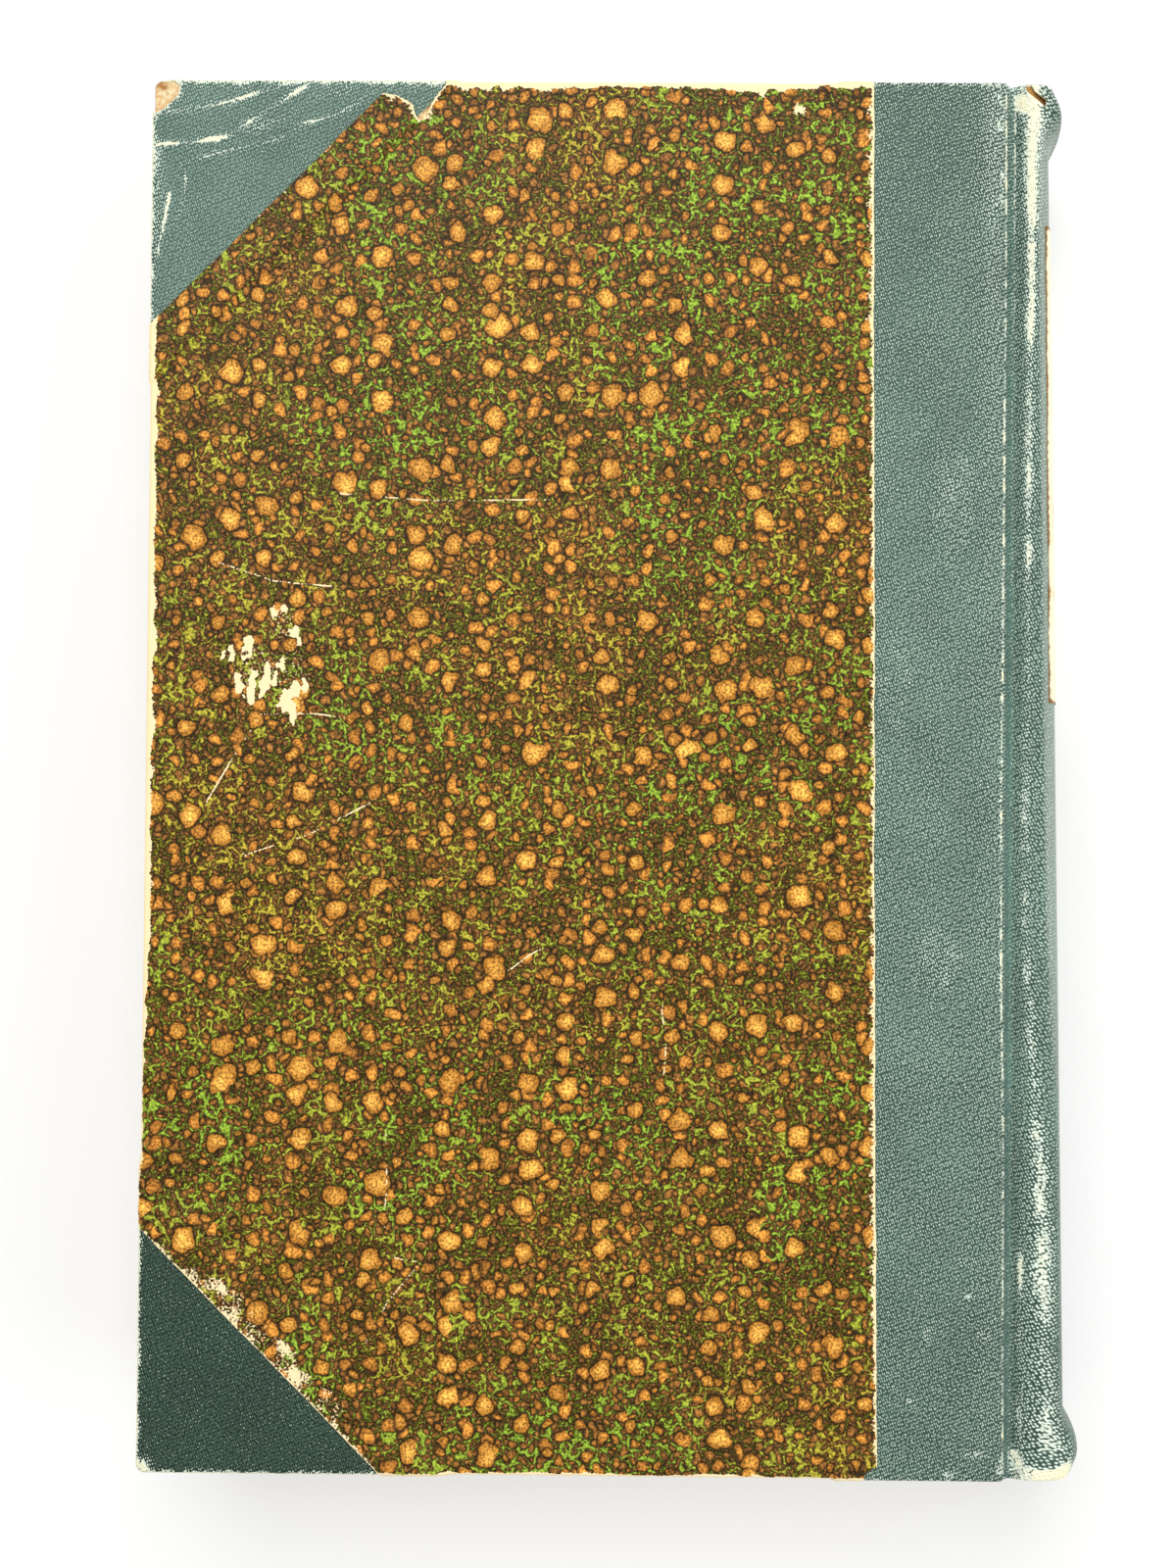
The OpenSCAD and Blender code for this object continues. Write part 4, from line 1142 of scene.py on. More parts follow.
def makeLabel():
    half = label["width"] / 2
    low, high = (middleU - half, labelLow[1]), (middleU + half, labelHigh[1])
    corners = cornersOf(low, high)
    closed = corners + corners[:1]
    sides = [ragged(closed[i:i + 2], 1.0, 0.05, 81 + i)[:-1] for i in range(4)]
    fill = [(u, v) for u in np.linspace(low[0], high[0], 74)[1:-1]
            for v in np.arange(low[1] + 1.5, high[1] - 1, 2.0)]

    def place(u, v, lift):
        return np.stack(placeOnBack(u, v, cloth + label["paste"] + lift), 1)

    def darkerEdge(u, v):
        return np.exp(-distanceTo(closed, u, v) / 0.25)

    return makeSheet("backLabel", np.concatenate(sides), fill, place, label["thickness"],
                     {"darkerEdge": darkerEdge}, makeLabelPaper("yellowedLabelPaper"))


piece = makeLabel()
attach(piece, "book_block")
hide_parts("spine_label")
print("label laid")

# The boards, rounded along their cut edges and worn to felted fibre at the peeled tip

millboard = {
    "paper": "#dcb27a",
    "pale": "#f6e3b8",
    "dark": "#a9743a",
    "edgeRound": 0.35,
    "jointEase": 1.0,
    "fibres": 1.4,
    "patches": 5,
    "peeled": 8.2,  # how far from the tip the layers are split
    "splitHeight": 0.34,
}


# Grey-brown millboard of rope and paper waste: matt, with fibres and lighter split layers.
def makeMillboard(name):
    material, tree = startMaterial(name)
    place = addNode(tree, "ShaderNodeTexCoord").outputs["Object"]
    layers = addNode(tree, "ShaderNodeMapping", {"Vector": place, "Scale": (1, 1, 6)})
    fibres = addNode(tree, "ShaderNodeTexNoise", {
        "Vector": layers, "Scale": 1000 / millboard["fibres"], "Detail": 6.0, "Roughness": 0.7,
        "Distortion": 1.5})
    patches = addNode(tree, "ShaderNodeTexNoise", {
        "Vector": place, "Scale": 1000 / millboard["patches"], "Detail": 4.0})
    bright = addNode(tree, "ShaderNodeMapRange", {
        "Value": fibres, "From Min": 0.42, "From Max": 0.62}, eased)
    dim = addNode(tree, "ShaderNodeMapRange", {"Value": patches, "From Min": 0.52, "From Max": 0.7}, eased)
    tone = addNode(tree, "ShaderNodeMix", {0: bright, 6: millboard["paper"], 7: millboard["pale"]}, mixed)
    felted = addNode(tree, "ShaderNodeMix", {0: dim, 6: tone, 7: millboard["dark"]}, mixed)
    endMaterial(tree, felted, 0.9, fibres, 0.4, {"Specular IOR Level": 0.2})
    return material


boardFinish = makeMillboard("feltedMillboard")


# How far a rounded edge has fallen at a distance in from it
def fallOfRound(radius, inward):
    return radius - np.sqrt(np.maximum(radius ** 2 - np.maximum(radius - inward, 0) ** 2, 0))


def makeBoard(side):
    radius = covering["cornerRound"]
    arcs = [(foreX + radius, boardHalf - radius, 90), (foreX + radius, radius - boardHalf, 180)]
    turns = [(x, y, math.radians(start + a)) for x, y, start in arcs for a in range(0, 91, 10)]
    corner = [(x + radius * math.cos(turn), y + radius * math.sin(turn)) for x, y, turn in turns]
    lowEnd, highEnd = (edgeX, -boardHalf), (edgeX, boardHalf)
    outline = np.concatenate([
        corner[:10], resample([corner[9], corner[10]], 8)[1:-1], corner[10:],
        resample([corner[-1], lowEnd], 8)[1:-1],
        resample([lowEnd, highEnd], 8),
        resample([highEnd, corner[0]], 8)[1:-1],
    ])
    closed = np.concatenate([outline, outline[:1]])
    fill = [hexPoints(foreX, edgeX, -boardHalf, boardHalf, 9)]
    for start, end in zip(closed[:-1], closed[1:]):
        if np.hypot(*(end - start)) > 1:
            fill.append(rowPoints([start, end], [0.04, 0.14, 0.35, 0.7, 1.0], 2.6))
    if side == "back":
        fill.append(hexPoints(foreX, foreX + 8.5, boardHalf - 8.5, boardHalf, 0.42))

    def place(u, v, lift):
        edge = distanceTo(closed, u, v)
        fall = fallOfRound(millboard["edgeRound"], edge)
        fallAtJoint = fallOfRound(millboard["jointEase"], edgeX - u)
        z = innerZ + lift - np.where(lift > 0, np.maximum(fall, fallAtJoint), -fall)
        if side == "back":  # split, felted layers at the peeled tip
            fromTip = np.hypot(u - foreX, v - boardHalf)
            tip = smooth((millboard["peeled"] - fromTip) / 2.4) * smooth(edge / 0.7)
            rough = 0.5 + 0.3 * drift(u * 1.5, v, 2.2, 91) + 0.2 * drift(u, v, 0.9, 92)
            ledges = np.round(rough * 3) / 3
            z = z + (lift > 0) * tip * (millboard["splitHeight"] * (0.5 * rough + 0.5 * ledges) - 0.06)
        return asCover(side, u, v, z)

    return makeSheet(f"{side}Millboard", outline, np.concatenate(fill), place, boardThickness, {},
                     boardFinish, flip=side == "front")


for side in ("back", "front"):
    piece = makeBoard(side)
    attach(piece, f"{side}_cover")
    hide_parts(f"{side}_board")
print("boards made")

# Endpapers: each pastedown shows what lies under it

endpaper = {
    "thickness": 0.2,
    "paper": "#ecdfba",
    "toned": "#c9a973",
    "foxing": "#a9753a",
    "cloudy": 24,  # sizes of the toning's clouds, the fox marks and the fibres
    "spots": 5,
    "fibres": 0.4,
    "step": 0.9,  # how far the sheet takes to climb over what lies under it
    "bubbles": 0.05,
    "tapeWidth": 14,
    "flangeThickness": 0.2,
    "joint": (-5.0, -0.3),  # the fold over the joint, from and to, from the shoulder's foot
    "jointHeight": 17.3,  # its middle, from the middle of the leaves
    "jointThickness": 0.14,
}
pasteLow, pasteHigh = cadPlace("back_pastedown")
slipLow, slipHigh = cadPlace("back_tape_slips")
flangeLow, flangeHigh = cadPlace("back_mull_flange")
tapeBoxes = [cadPlace(f"sewing_tape_{i}") for i in range(1, 5)]
tapePlaces = [(low[1] + high[1]) / 2 for low, high in tapeBoxes]


# Plain wove endpaper, cream and matt, toned brown towards its edges, a few fox marks.
def makeEndpaper(name, low, high):
    material, tree = startMaterial(name)
    place = addNode(tree, "ShaderNodeTexCoord").outputs["Object"]
    middle, half = (low + high) / 2000, (high - low) / 2000
    away = addNode(tree, "ShaderNodeVectorMath", {0: place, 1: tuple(middle)}, minus)
    share = addNode(tree, "ShaderNodeVectorMath", {0: away, 1: tuple(half)}, over)
    parts = addNode(tree, "ShaderNodeSeparateXYZ", {0: share})
    across = addNode(tree, "ShaderNodeMath", {0: parts.outputs["X"]}, unsigned)
    along = addNode(tree, "ShaderNodeMath", {0: parts.outputs["Y"]}, unsigned)
    rim = addNode(tree, "ShaderNodeMath", {0: across, 1: along}, greater)
    cloudy, spots, fibres = (
        addNode(tree, "ShaderNodeTexNoise", {
            "Vector": place, "Scale": 1000 / endpaper[kind], "Detail": detail})
        for kind, detail in (("cloudy", 5.0), ("spots", 3.0), ("fibres", 3.0)))
    wander = addNode(tree, "ShaderNodeMath", {0: cloudy, 1: 0.35, 2: rim}, timesPlus)
    edge = addNode(tree, "ShaderNodeMapRange", {
        "Value": wander, "From Min": 0.95, "From Max": 1.22, "To Max": 0.8}, eased)
    foxed = addNode(tree, "ShaderNodeMapRange", {
        "Value": spots, "From Min": 0.66, "From Max": 0.74, "To Max": 0.5}, eased)
    toned = addNode(tree, "ShaderNodeMix", {0: edge, 6: endpaper["paper"], 7: endpaper["toned"]}, mixed)
    final = addNode(tree, "ShaderNodeMix", {0: foxed, 6: toned, 7: endpaper["foxing"]}, mixed)
    endMaterial(tree, final, 0.85, fibres, 0.02, {"Specular IOR Level": 0.25})
    return material


endpaperFinish = makeEndpaper("tonedEndpaper", pasteLow, pasteHigh)


# How thick the layers are that lie under a pastedown: turned-in cloth and paper, slips and mull
def underPastedown(u, v):
    turned, hidden = covering["turnIn"], covering["hiddenLeg"]
    fromFore, fromEnd = u - foreX, boardHalf - np.abs(v)

    def within(inside):
        return smooth(inside / endpaper["step"] + 0.5)

    onTurnIn = within(turned - np.minimum(fromFore, fromEnd))
    onCorner = within(hidden - fromFore) * within(hidden - fromEnd)
    onStrip = within(u - covering["stripStart"]) * within(turned - fromEnd)
    seenCorner = within(covering["cornerLeg"] - fromFore - endpaper["step"] / 2)
    seenCorner = seenCorner * within(covering["cornerLeg"] - fromEnd - endpaper["step"] / 2)
    slips = 0 * u
    for y in tapePlaces:
        slips = np.maximum(slips, within(endpaper["tapeWidth"] / 2 - np.abs(v - y)) * within(u - slipLow[0]))
    flange = within(u - flangeLow[0]) * within(flangeHigh[1] - np.abs(v))
    total = cloth * np.maximum(onCorner * onTurnIn, onStrip)
    total = total + paper * (onTurnIn * (1 - seenCorner) * within(covering["paperEnd"] - u))
    return total + (slipHigh[2] - slipLow[2]) * slips + endpaper["flangeThickness"] * flange


def makePastedown(side):
    low, high = pasteLow, pasteHigh
    step, inset, half = endpaper["step"], covering["turnIn"], endpaper["tapeWidth"] / 2
    flangeX, flangeY = flangeLow[0], flangeHigh[1]
    turned = boardHalf - inset
    lines = [
        [(low[0], turned), (high[0], turned)],
        [(low[0], -turned), (high[0], -turned)],
        [(foreX + inset, low[1]), (foreX + inset, high[1])],
        [(flangeX, -flangeY), (flangeX, flangeY)],
        [(flangeX, flangeY), (high[0], flangeY)],
        [(flangeX, -flangeY), (high[0], -flangeY)],
    ]
    legs = (covering["hiddenLeg"], covering["cornerLeg"])
    for sign in (1, -1):
        for x in (covering["stripStart"], foreX + legs[0], covering["paperEnd"], foreX + legs[1]):
            lines.append([(x, sign * low[1]), (x, sign * turned)])
        for y in (sign * (boardHalf - leg) for leg in legs):
            lines.append([(low[0], y), (foreX + inset, y)])
    for y in tapePlaces:
        lines += [[(slipLow[0], y + off), (high[0], y + off)] for off in (-half, half)]
        lines.append([(slipLow[0], y - half), (slipLow[0], y + half)])
    offsets = [-0.6 * step, -0.3 * step, 0, 0.3 * step, 0.6 * step]
    rows = [rowPoints(line, offsets, 2.2) for line in lines]
    fill = np.concatenate([hexPoints(low[0], high[0], low[1], high[1], 6)] + rows)

    def place(u, v, lift):
        bubbles = endpaper["bubbles"] * (1 + drift(u, v, 22, 95))
        return asCover(side, u, v, innerZ - underPastedown(u, v) - bubbles * (lift > 0) - lift)

    return makeSheet(f"{side}Pastedown", rectangle(low, high, 2.0, 2.0), fill, place,
                     endpaper["thickness"], {}, endpaperFinish, flip=side == "back")


# The fold of each endpaper, from the board over the joint to the first leaf
def makeEndpaperJoint(side):
    start, end = (footX + off for off in endpaper["joint"])
    outline = rectangle((start, pasteLow[1]), (end, pasteHigh[1]), 3.0, 3.0)
    fill = [(u, v) for u in np.linspace(start, end, 15)[1:-1]
            for v in np.arange(pasteLow[1] + 2, pasteHigh[1], 4.0)]

    def place(u, v, lift):
        inner = endpaper["jointHeight"] + endpaper["jointThickness"] / 2
        return asCover(side, u, v, midZ + inner - lift + 0 * u)

    return makeSheet(f"{side}EndpaperJoint", outline, fill, place, endpaper["jointThickness"], {},
                     endpaperFinish, flip=side == "back")


for side in ("back", "front"):
    piece = makePastedown(side)
    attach(piece, f"{side}_cover")
    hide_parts(f"{side}_pastedown")
    piece = makeEndpaperJoint(side)
    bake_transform(piece)
print("endpapers laid")

# The leaves, one bundle over the other

leaves = {
    "bundles": 68,
    "hollow": 4,
    "shoulderRun": 1.8,
    "gap": 0.9,  # how much of its share each bundle fills
    "wander": 0.22,
    "line": 0.3,  # pitch of the lines, coarser than single leaves so that they show
    "cloudy": 14,
    "dustDepth": (0.6, 0.2),  # of the dust on the head, from the top
    "paper": "#e6d3a4",
    "edge": "#c9ac70",
    "shade": "#8a6a3a",
    "dustAndSheen": "#6d6455",
}


# Edges of cut, toned leaves: matt, drawn in fine lines along the leaves, dustier at the head.
def makeLeafEdges(name):
    material, tree = startMaterial(name)
    place = addNode(tree, "ShaderNodeTexCoord").outputs["Object"]
    thin = addNode(tree, "ShaderNodeMapping", {"Vector": place, "Scale": (0.02, 0.02, 1)})
    lines = addNode(tree, "ShaderNodeTexNoise", {
        "Vector": thin, "Scale": 1000 / leaves["line"], "Detail": 3.0, "Roughness": 0.65})
    cloudy = addNode(tree, "ShaderNodeTexNoise", {
        "Vector": place, "Scale": 1000 / leaves["cloudy"], "Detail": 4.0})
    sharp = addNode(tree, "ShaderNodeMapRange", {"Value": lines, "From Min": 0.38, "From Max": 0.6}, eased)
    toned = addNode(tree, "ShaderNodeMix", {0: sharp, 6: leaves["edge"], 7: leaves["paper"]}, mixed)
    shade = addNode(tree, "ShaderNodeMapRange", {
        "Value": cloudy, "From Min": 0.5, "From Max": 0.75, "To Max": 0.5}, eased)
    shaded = addNode(tree, "ShaderNodeMix", {0: shade, 6: toned, 7: leaves["shade"]}, mixed)
    parts = addNode(tree, "ShaderNodeSeparateXYZ", {0: place})
    start, end = ((leavesHigh[1] - depth) / 1000 for depth in leaves["dustDepth"])
    head = addNode(tree, "ShaderNodeMapRange", {
        "Value": parts.outputs["Y"], "From Min": start, "From Max": end, "To Max": 0.45})
    dustyAndSheen = addNode(tree, "ShaderNodeMix", {0: head, 6: shaded, 7: leaves["dustAndSheen"]}, mixed)
    endMaterial(tree, dustyAndSheen, 0.88, lines, 0.12, {"Specular IOR Level": 0.2})
    return material


# A Geometry Nodes tree with its named inputs
def startRule(name, inputs):
    tree = bpy.data.node_groups.new(name, "GeometryNodeTree")
    tree.interface.new_socket("Geometry", in_out="OUTPUT", socket_type="NodeSocketGeometry")
    for word, (kind, _) in inputs.items():
        tree.interface.new_socket(word, in_out="INPUT", socket_type=kind)
    return tree, addNode(tree, "NodeGroupInput")


# Runs a rule once and keeps its plain mesh
def growPiece(name, tree, inputs):
    seed = bpy.data.objects.new(name + "Seed", bpy.data.meshes.new(name + "Seed"))
    bpy.context.scene.collection.objects.link(seed)
    rule = seed.modifiers.new("rule", "NODES")
    rule.node_group = tree
    for item in tree.interface.items_tree:
        if item.item_type == "SOCKET" and item.in_out == "INPUT":
            rule[item.identifier] = inputs[item.name][1]
    seed.update_tag()
    graph = bpy.context.evaluated_depsgraph_get()
    mesh = bpy.data.meshes.new_from_object(
        seed.evaluated_get(graph), preserve_all_data_layers=True, depsgraph=graph)
    bpy.data.objects.remove(seed)
    mesh.name = name
    piece = bpy.data.objects.new(name, mesh)
    bpy.context.scene.collection.objects.link(piece)
    return piece


def growLeaves():
    half = (flyLow[2] - midZ) / 1000
    foreRadius = (half ** 2 + (leaves["hollow"] / 1000) ** 2) / (2 * leaves["hollow"] / 1000)
    inputs = {
        "Bundles": ("NodeSocketInt", leaves["bundles"]),
        "Half Thickness": ("NodeSocketFloat", half),
        "Leaf Height": ("NodeSocketFloat", (leavesHigh[1] - leavesLow[1]) / 1000),
        "Fore Radius": ("NodeSocketFloat", foreRadius),
        "Fore Centre": ("NodeSocketFloat", (leavesLow[0] + leaves["hollow"]) / 1000 - foreRadius),
        "Back Radius": ("NodeSocketFloat", backRadius / 1000),
        "Back Centre": ("NodeSocketFloat", (footX + backCentre) / 1000),
        "Shoulder Rise": ("NodeSocketFloat", tipZ / 1000 / half - 1),
        "Wander": ("NodeSocketFloat", leaves["wander"] / 1000),
        "Finish": ("NodeSocketMaterial", makeLeafEdges("cutLeafEdges")),
    }
    tree, given = startRule("leafBundles", inputs)
    value = given.outputs
    slab = addNode(tree, "GeometryNodeMeshCube", {
        "Size": (1, 1, 1), "Vertices X": 30, "Vertices Y": 4, "Vertices Z": 2})
    places = addNode(tree, "GeometryNodePoints", {"Count": value["Bundles"]})
    number = addNode(tree, "GeometryNodeInputIndex")
    marked = addNode(tree, "GeometryNodeStoreNamedAttribute", {
        "Geometry": places, "Name": "bundle", "Value": number},
        {"data_type": "FLOAT", "domain": "POINT"})
    stacked = addNode(tree, "GeometryNodeInstanceOnPoints", {"Points": marked, "Instance": slab})
    real = addNode(tree, "GeometryNodeRealizeInstances", {"Geometry": stacked})
    bundle = addNode(tree, "GeometryNodeInputNamedAttribute", {"Name": "bundle"}, {"data_type": "FLOAT"})
    unit = addNode(tree, "ShaderNodeSeparateXYZ", {0: addNode(tree, "GeometryNodeInputPosition")}).outputs
    chance = addNode(tree, "FunctionNodeRandomValue", {
        "Min": (-1, -1, -1), "Max": (1, 1, 1), "ID": bundle, "Seed": 7}, {"data_type": "FLOAT_VECTOR"})
    offset = addNode(tree, "ShaderNodeSeparateXYZ", {0: chance}).outputs
    inBundle = addNode(tree, "ShaderNodeMath", {0: unit[2], 1: leaves["gap"], 2: 0.5}, timesPlus)
    counted = addNode(tree, "ShaderNodeMath", {0: bundle, 1: inBundle}, plus)
    share = addNode(tree, "ShaderNodeMath", {0: counted, 1: value["Bundles"]}, over)
    level = addNode(tree, "ShaderNodeMath", {0: share, 1: 2.0, 2: -1.0}, timesPlus)
    height = addNode(tree, "ShaderNodeMath", {0: level, 1: value["Half Thickness"]}, times)
    swell = addNode(tree, "ShaderNodeMath", {0: value["Shoulder Rise"], 1: 1.0}, plus)
    swelled = addNode(tree, "ShaderNodeMath", {0: height, 1: swell}, times)
    # the hollow fore edge and the round of the back are arcs over the leaves' height
    arcs = []
    for radius, rise in (("Fore Radius", height), ("Back Radius", swelled)):
        radiusSquared = addNode(tree, "ShaderNodeMath", {0: value[radius], 1: value[radius]}, times)
        riseSquared = addNode(tree, "ShaderNodeMath", {0: rise, 1: rise}, times)
        rest = addNode(tree, "ShaderNodeMath", {0: radiusSquared, 1: riseSquared}, minus)
        arcs.append(addNode(tree, "ShaderNodeMath", {0: rest}, root))
    wandered = addNode(tree, "ShaderNodeMath", {0: offset[0], 1: value["Wander"], 2: arcs[0]}, timesPlus)
    fore = addNode(tree, "ShaderNodeMath", {0: value["Fore Centre"], 1: wandered}, plus)
    back = addNode(tree, "ShaderNodeMath", {0: value["Back Centre"], 1: arcs[1]}, plus)
    width = addNode(tree, "ShaderNodeMath", {0: back, 1: fore}, minus)
    # the slab's columns crowd towards the back, where the shoulder bends
    fromBack = addNode(tree, "ShaderNodeMath", {0: 0.5, 1: unit[0]}, minus)
    crowded = addNode(tree, "ShaderNodeMath", {0: fromBack, 1: 3.0}, power)
    along = addNode(tree, "ShaderNodeMath", {0: 1.0, 1: crowded}, minus)
    x = addNode(tree, "ShaderNodeMath", {0: width, 1: along, 2: fore}, timesPlus)
    rise = addNode(tree, "ShaderNodeMapRange", {
        "Value": x, "From Min": footX / 1000, "From Max": (footX + leaves["shoulderRun"]) / 1000,
        "To Max": value["Shoulder Rise"]}, eased)
    raised = addNode(tree, "ShaderNodeMath", {0: rise, 1: 1.0}, plus)
    z = addNode(tree, "ShaderNodeMath", {0: height, 1: raised, 2: midZ / 1000}, timesPlus)
    halfWander = addNode(tree, "ShaderNodeMath", {0: value["Wander"], 1: 0.5}, times)
    shorter = addNode(tree, "ShaderNodeMath", {0: value["Leaf Height"], 1: value["Wander"]}, minus)
    length = addNode(tree, "ShaderNodeMath", {0: offset[1], 1: halfWander, 2: shorter}, timesPlus)
    y = addNode(tree, "ShaderNodeMath", {0: unit[1], 1: length}, times)
    spot = addNode(tree, "ShaderNodeCombineXYZ", {0: x, 1: y, 2: z})
    moved = addNode(tree, "GeometryNodeSetPosition", {"Geometry": real, "Position": spot})
    done = addNode(tree, "GeometryNodeSetMaterial", {"Geometry": moved, "Material": value["Finish"]})
    addNode(tree, "NodeGroupOutput", {0: done})
    piece = growPiece("leaves", tree, inputs)
    piece.data.set_sharp_from_angle(angle=math.radians(30))
    return piece


piece = growLeaves()
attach(piece, "book_block")
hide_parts("text_block")
print("leaves stacked,", len(piece.data.polygons), "faces")

# Head and tail bands: thread wound over a cord

band = {
    "pitch": 0.34,
    "bead": 0.66,  # radius of the cord
    "thread": 0.17,
    "twist": 0.35,
    "run": 6,  # winds of one colour before the next
    "arcSteps": 48,
    "offLeaves": 0.85,  # cord's line above the leaves' head, or below their tail
    "inBack": 0.62,  # and inside their back
    "offTips": 1.6,  # the band's ends, from the shoulders' tips
    "one": "#e9e0c2",
    "other": "#3f6b5b",
}


# Mercerised cotton thread: fine twist, a soft shine along the winds, dusty in between.
def makeThread(name):
    material, tree, wound = startMaterial(name, "colour")
    place = addNode(tree, "ShaderNodeTexCoord").outputs["Object"]
    twist = addNode(tree, "ShaderNodeTexNoise", {
        "Vector": place, "Scale": 1000 / band["twist"], "Detail": 2.0})
    tint = addNode(tree, "ShaderNodeMix", {0: wound, 6: band["one"], 7: band["other"]}, mixed)
    worn = addNode(tree, "ShaderNodeMapRange", {
        "Value": twist, "From Min": 0.3, "From Max": 0.7, "To Min": 0.7, "To Max": 1.1})
    toned = addNode(tree, "ShaderNodeMix", {0: 1.0, 6: tint, 7: worn}, multiplied)
    endMaterial(tree, toned, 0.6, twist, 0.05, {"Sheen Weight": 0.25})
    return material


threadFinish = makeThread("bandThread")
beadPath = backRadius - band["inBack"]


def growBand(word, end):
    half = math.asin(tipZ / backRadius) - math.asin(band["offTips"] / backRadius)
    count = int(2 * half * beadPath / band["pitch"])
    centre = ((footX + backCentre) / 1000, end * (leavesHigh[1] + band["offLeaves"]) / 1000, midZ / 1000)
    inputs = {
        "Path Radius": ("NodeSocketFloat", beadPath / 1000),
        "Half Angle": ("NodeSocketFloat", half),
        "Winds": ("NodeSocketInt", count),
        "Cord Radius": ("NodeSocketFloat", band["bead"] / 1000),
        "Thread Radius": ("NodeSocketFloat", band["thread"] / 1000),
        "Centre": ("NodeSocketVector", centre),
        "Finish": ("NodeSocketMaterial", threadFinish),
    }
    tree, given = startRule(word + "Winding", inputs)
    value = given.outputs
    sweep = addNode(tree, "ShaderNodeMath", {0: value["Half Angle"], 1: 2.0}, times)
    start = addNode(tree, "ShaderNodeMath", {0: value["Half Angle"], 1: -1.0}, times)
    path = addNode(tree, "GeometryNodeCurveArc", {
        "Resolution": band["arcSteps"], "Radius": value["Path Radius"], "Start Angle": start,
        "Sweep Angle": sweep})
    cordRing, windPath, windRing = (
        addNode(tree, "GeometryNodeCurvePrimitiveCircle", {"Resolution": steps, "Radius": value[radius]})
        for steps, radius in ((10, "Cord Radius"), (12, "Cord Radius"), (5, "Thread Radius")))
    cord = addNode(tree, "GeometryNodeCurveToMesh", {
        "Curve": path, "Profile Curve": cordRing, "Fill Caps": True})
    winds = addNode(tree, "GeometryNodeCurveToPoints", {"Curve": path, "Count": value["Winds"]})
    number = addNode(tree, "GeometryNodeInputIndex")
    part = addNode(tree, "ShaderNodeMath", {0: number, 1: 1 / (2 * band["run"])}, times)
    share = addNode(tree, "ShaderNodeMath", {0: part}, fraction)
    second = addNode(tree, "ShaderNodeMath", {0: share, 1: 0.49}, {"operation": "GREATER_THAN"})
    marked = addNode(tree, "GeometryNodeStoreNamedAttribute", {
        "Geometry": winds, "Name": "colour", "Value": second},
        {"data_type": "FLOAT", "domain": "POINT"})
    wind = addNode(tree, "GeometryNodeCurveToMesh", {
        "Curve": windPath, "Profile Curve": windRing})
    wound = addNode(tree, "GeometryNodeInstanceOnPoints", {
        "Points": marked, "Instance": wind, "Rotation": winds.outputs["Rotation"]})
    both = addNode(tree, "GeometryNodeJoinGeometry", {0: cord})
    tree.links.new(wound.outputs[0], both.inputs[0])
    turned = addNode(tree, "GeometryNodeTransform", {
        "Geometry": both, "Translation": value["Centre"], "Rotation": (math.pi / 2, 0, 0)})
    real = addNode(tree, "GeometryNodeRealizeInstances", {"Geometry": turned})
    soft = addNode(tree, "GeometryNodeSetShadeSmooth", {"Geometry": real})
    done = addNode(tree, "GeometryNodeSetMaterial", {"Geometry": soft, "Material": value["Finish"]})
    addNode(tree, "NodeGroupOutput", {0: done})
    return growPiece(word + "Band", tree, inputs)


for word, end in (("head", 1), ("tail", -1)):
    piece = growBand(word, end)
    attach(piece, "book_block")
    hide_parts(f"{word}_band")
    print(word, "band wound,", len(piece.data.polygons), "faces")

# The frame's own pieces that show only in the hollow back or under a raised leaf

linings = {
    "twill": ("#d9cba4", "#a8905c", 0.7, math.pi / 4),  # light, dark, pitch and slant of the weave
    "mull": ("#d6c9a6", "#a8905c", 1.0, 0),
    "kraft": ("#a9824c", "#7d5a30"),  # light and dark
    "card": ("#9c7f58", "#6f5536"),
    "grubby": 6,  # sizes of the weave's dirty patches, and of a board's fibres and shives
    "fibres": 0.8,
    "shives": 2.2,
    "perPitch": 0.314,  # a wave's bands repeat about three times in one unit of its scale
}


# Plain woven linen and cotton: matt, threads that cross at a real pitch, grubby in patches.
def makeWoven(name, light, dark, pitch, slant):
    material, tree = startMaterial(name)
    place = addNode(tree, "ShaderNodeTexCoord").outputs["Object"]
    turned = addNode(tree, "ShaderNodeMapping", {"Vector": place, "Rotation": (0, 0, slant)})
    scale = 1000 / pitch * linings["perPitch"]
    warp, weft = (
        addNode(tree, "ShaderNodeTexWave", {"Vector": turned, "Scale": scale, "Distortion": 0.6},
                {"bands_direction": direction}).outputs[1]
        for direction in ("X", "Y"))
    cross = addNode(tree, "ShaderNodeMath", {0: warp, 1: weft}, greater)
    worn = addNode(tree, "ShaderNodeTexNoise", {
        "Vector": place, "Scale": 1000 / linings["grubby"], "Detail": 4.0})
    shade = addNode(tree, "ShaderNodeMath", {0: cross, 1: worn}, times)
    share = addNode(tree, "ShaderNodeMapRange", {"Value": shade, "From Min": 0.1, "From Max": 0.5})
    colour = addNode(tree, "ShaderNodeMix", {0: share, 6: dark, 7: light}, mixed)
    endMaterial(tree, colour, 0.9, cross, 0.1, {"Specular IOR Level": 0.2})
    return material


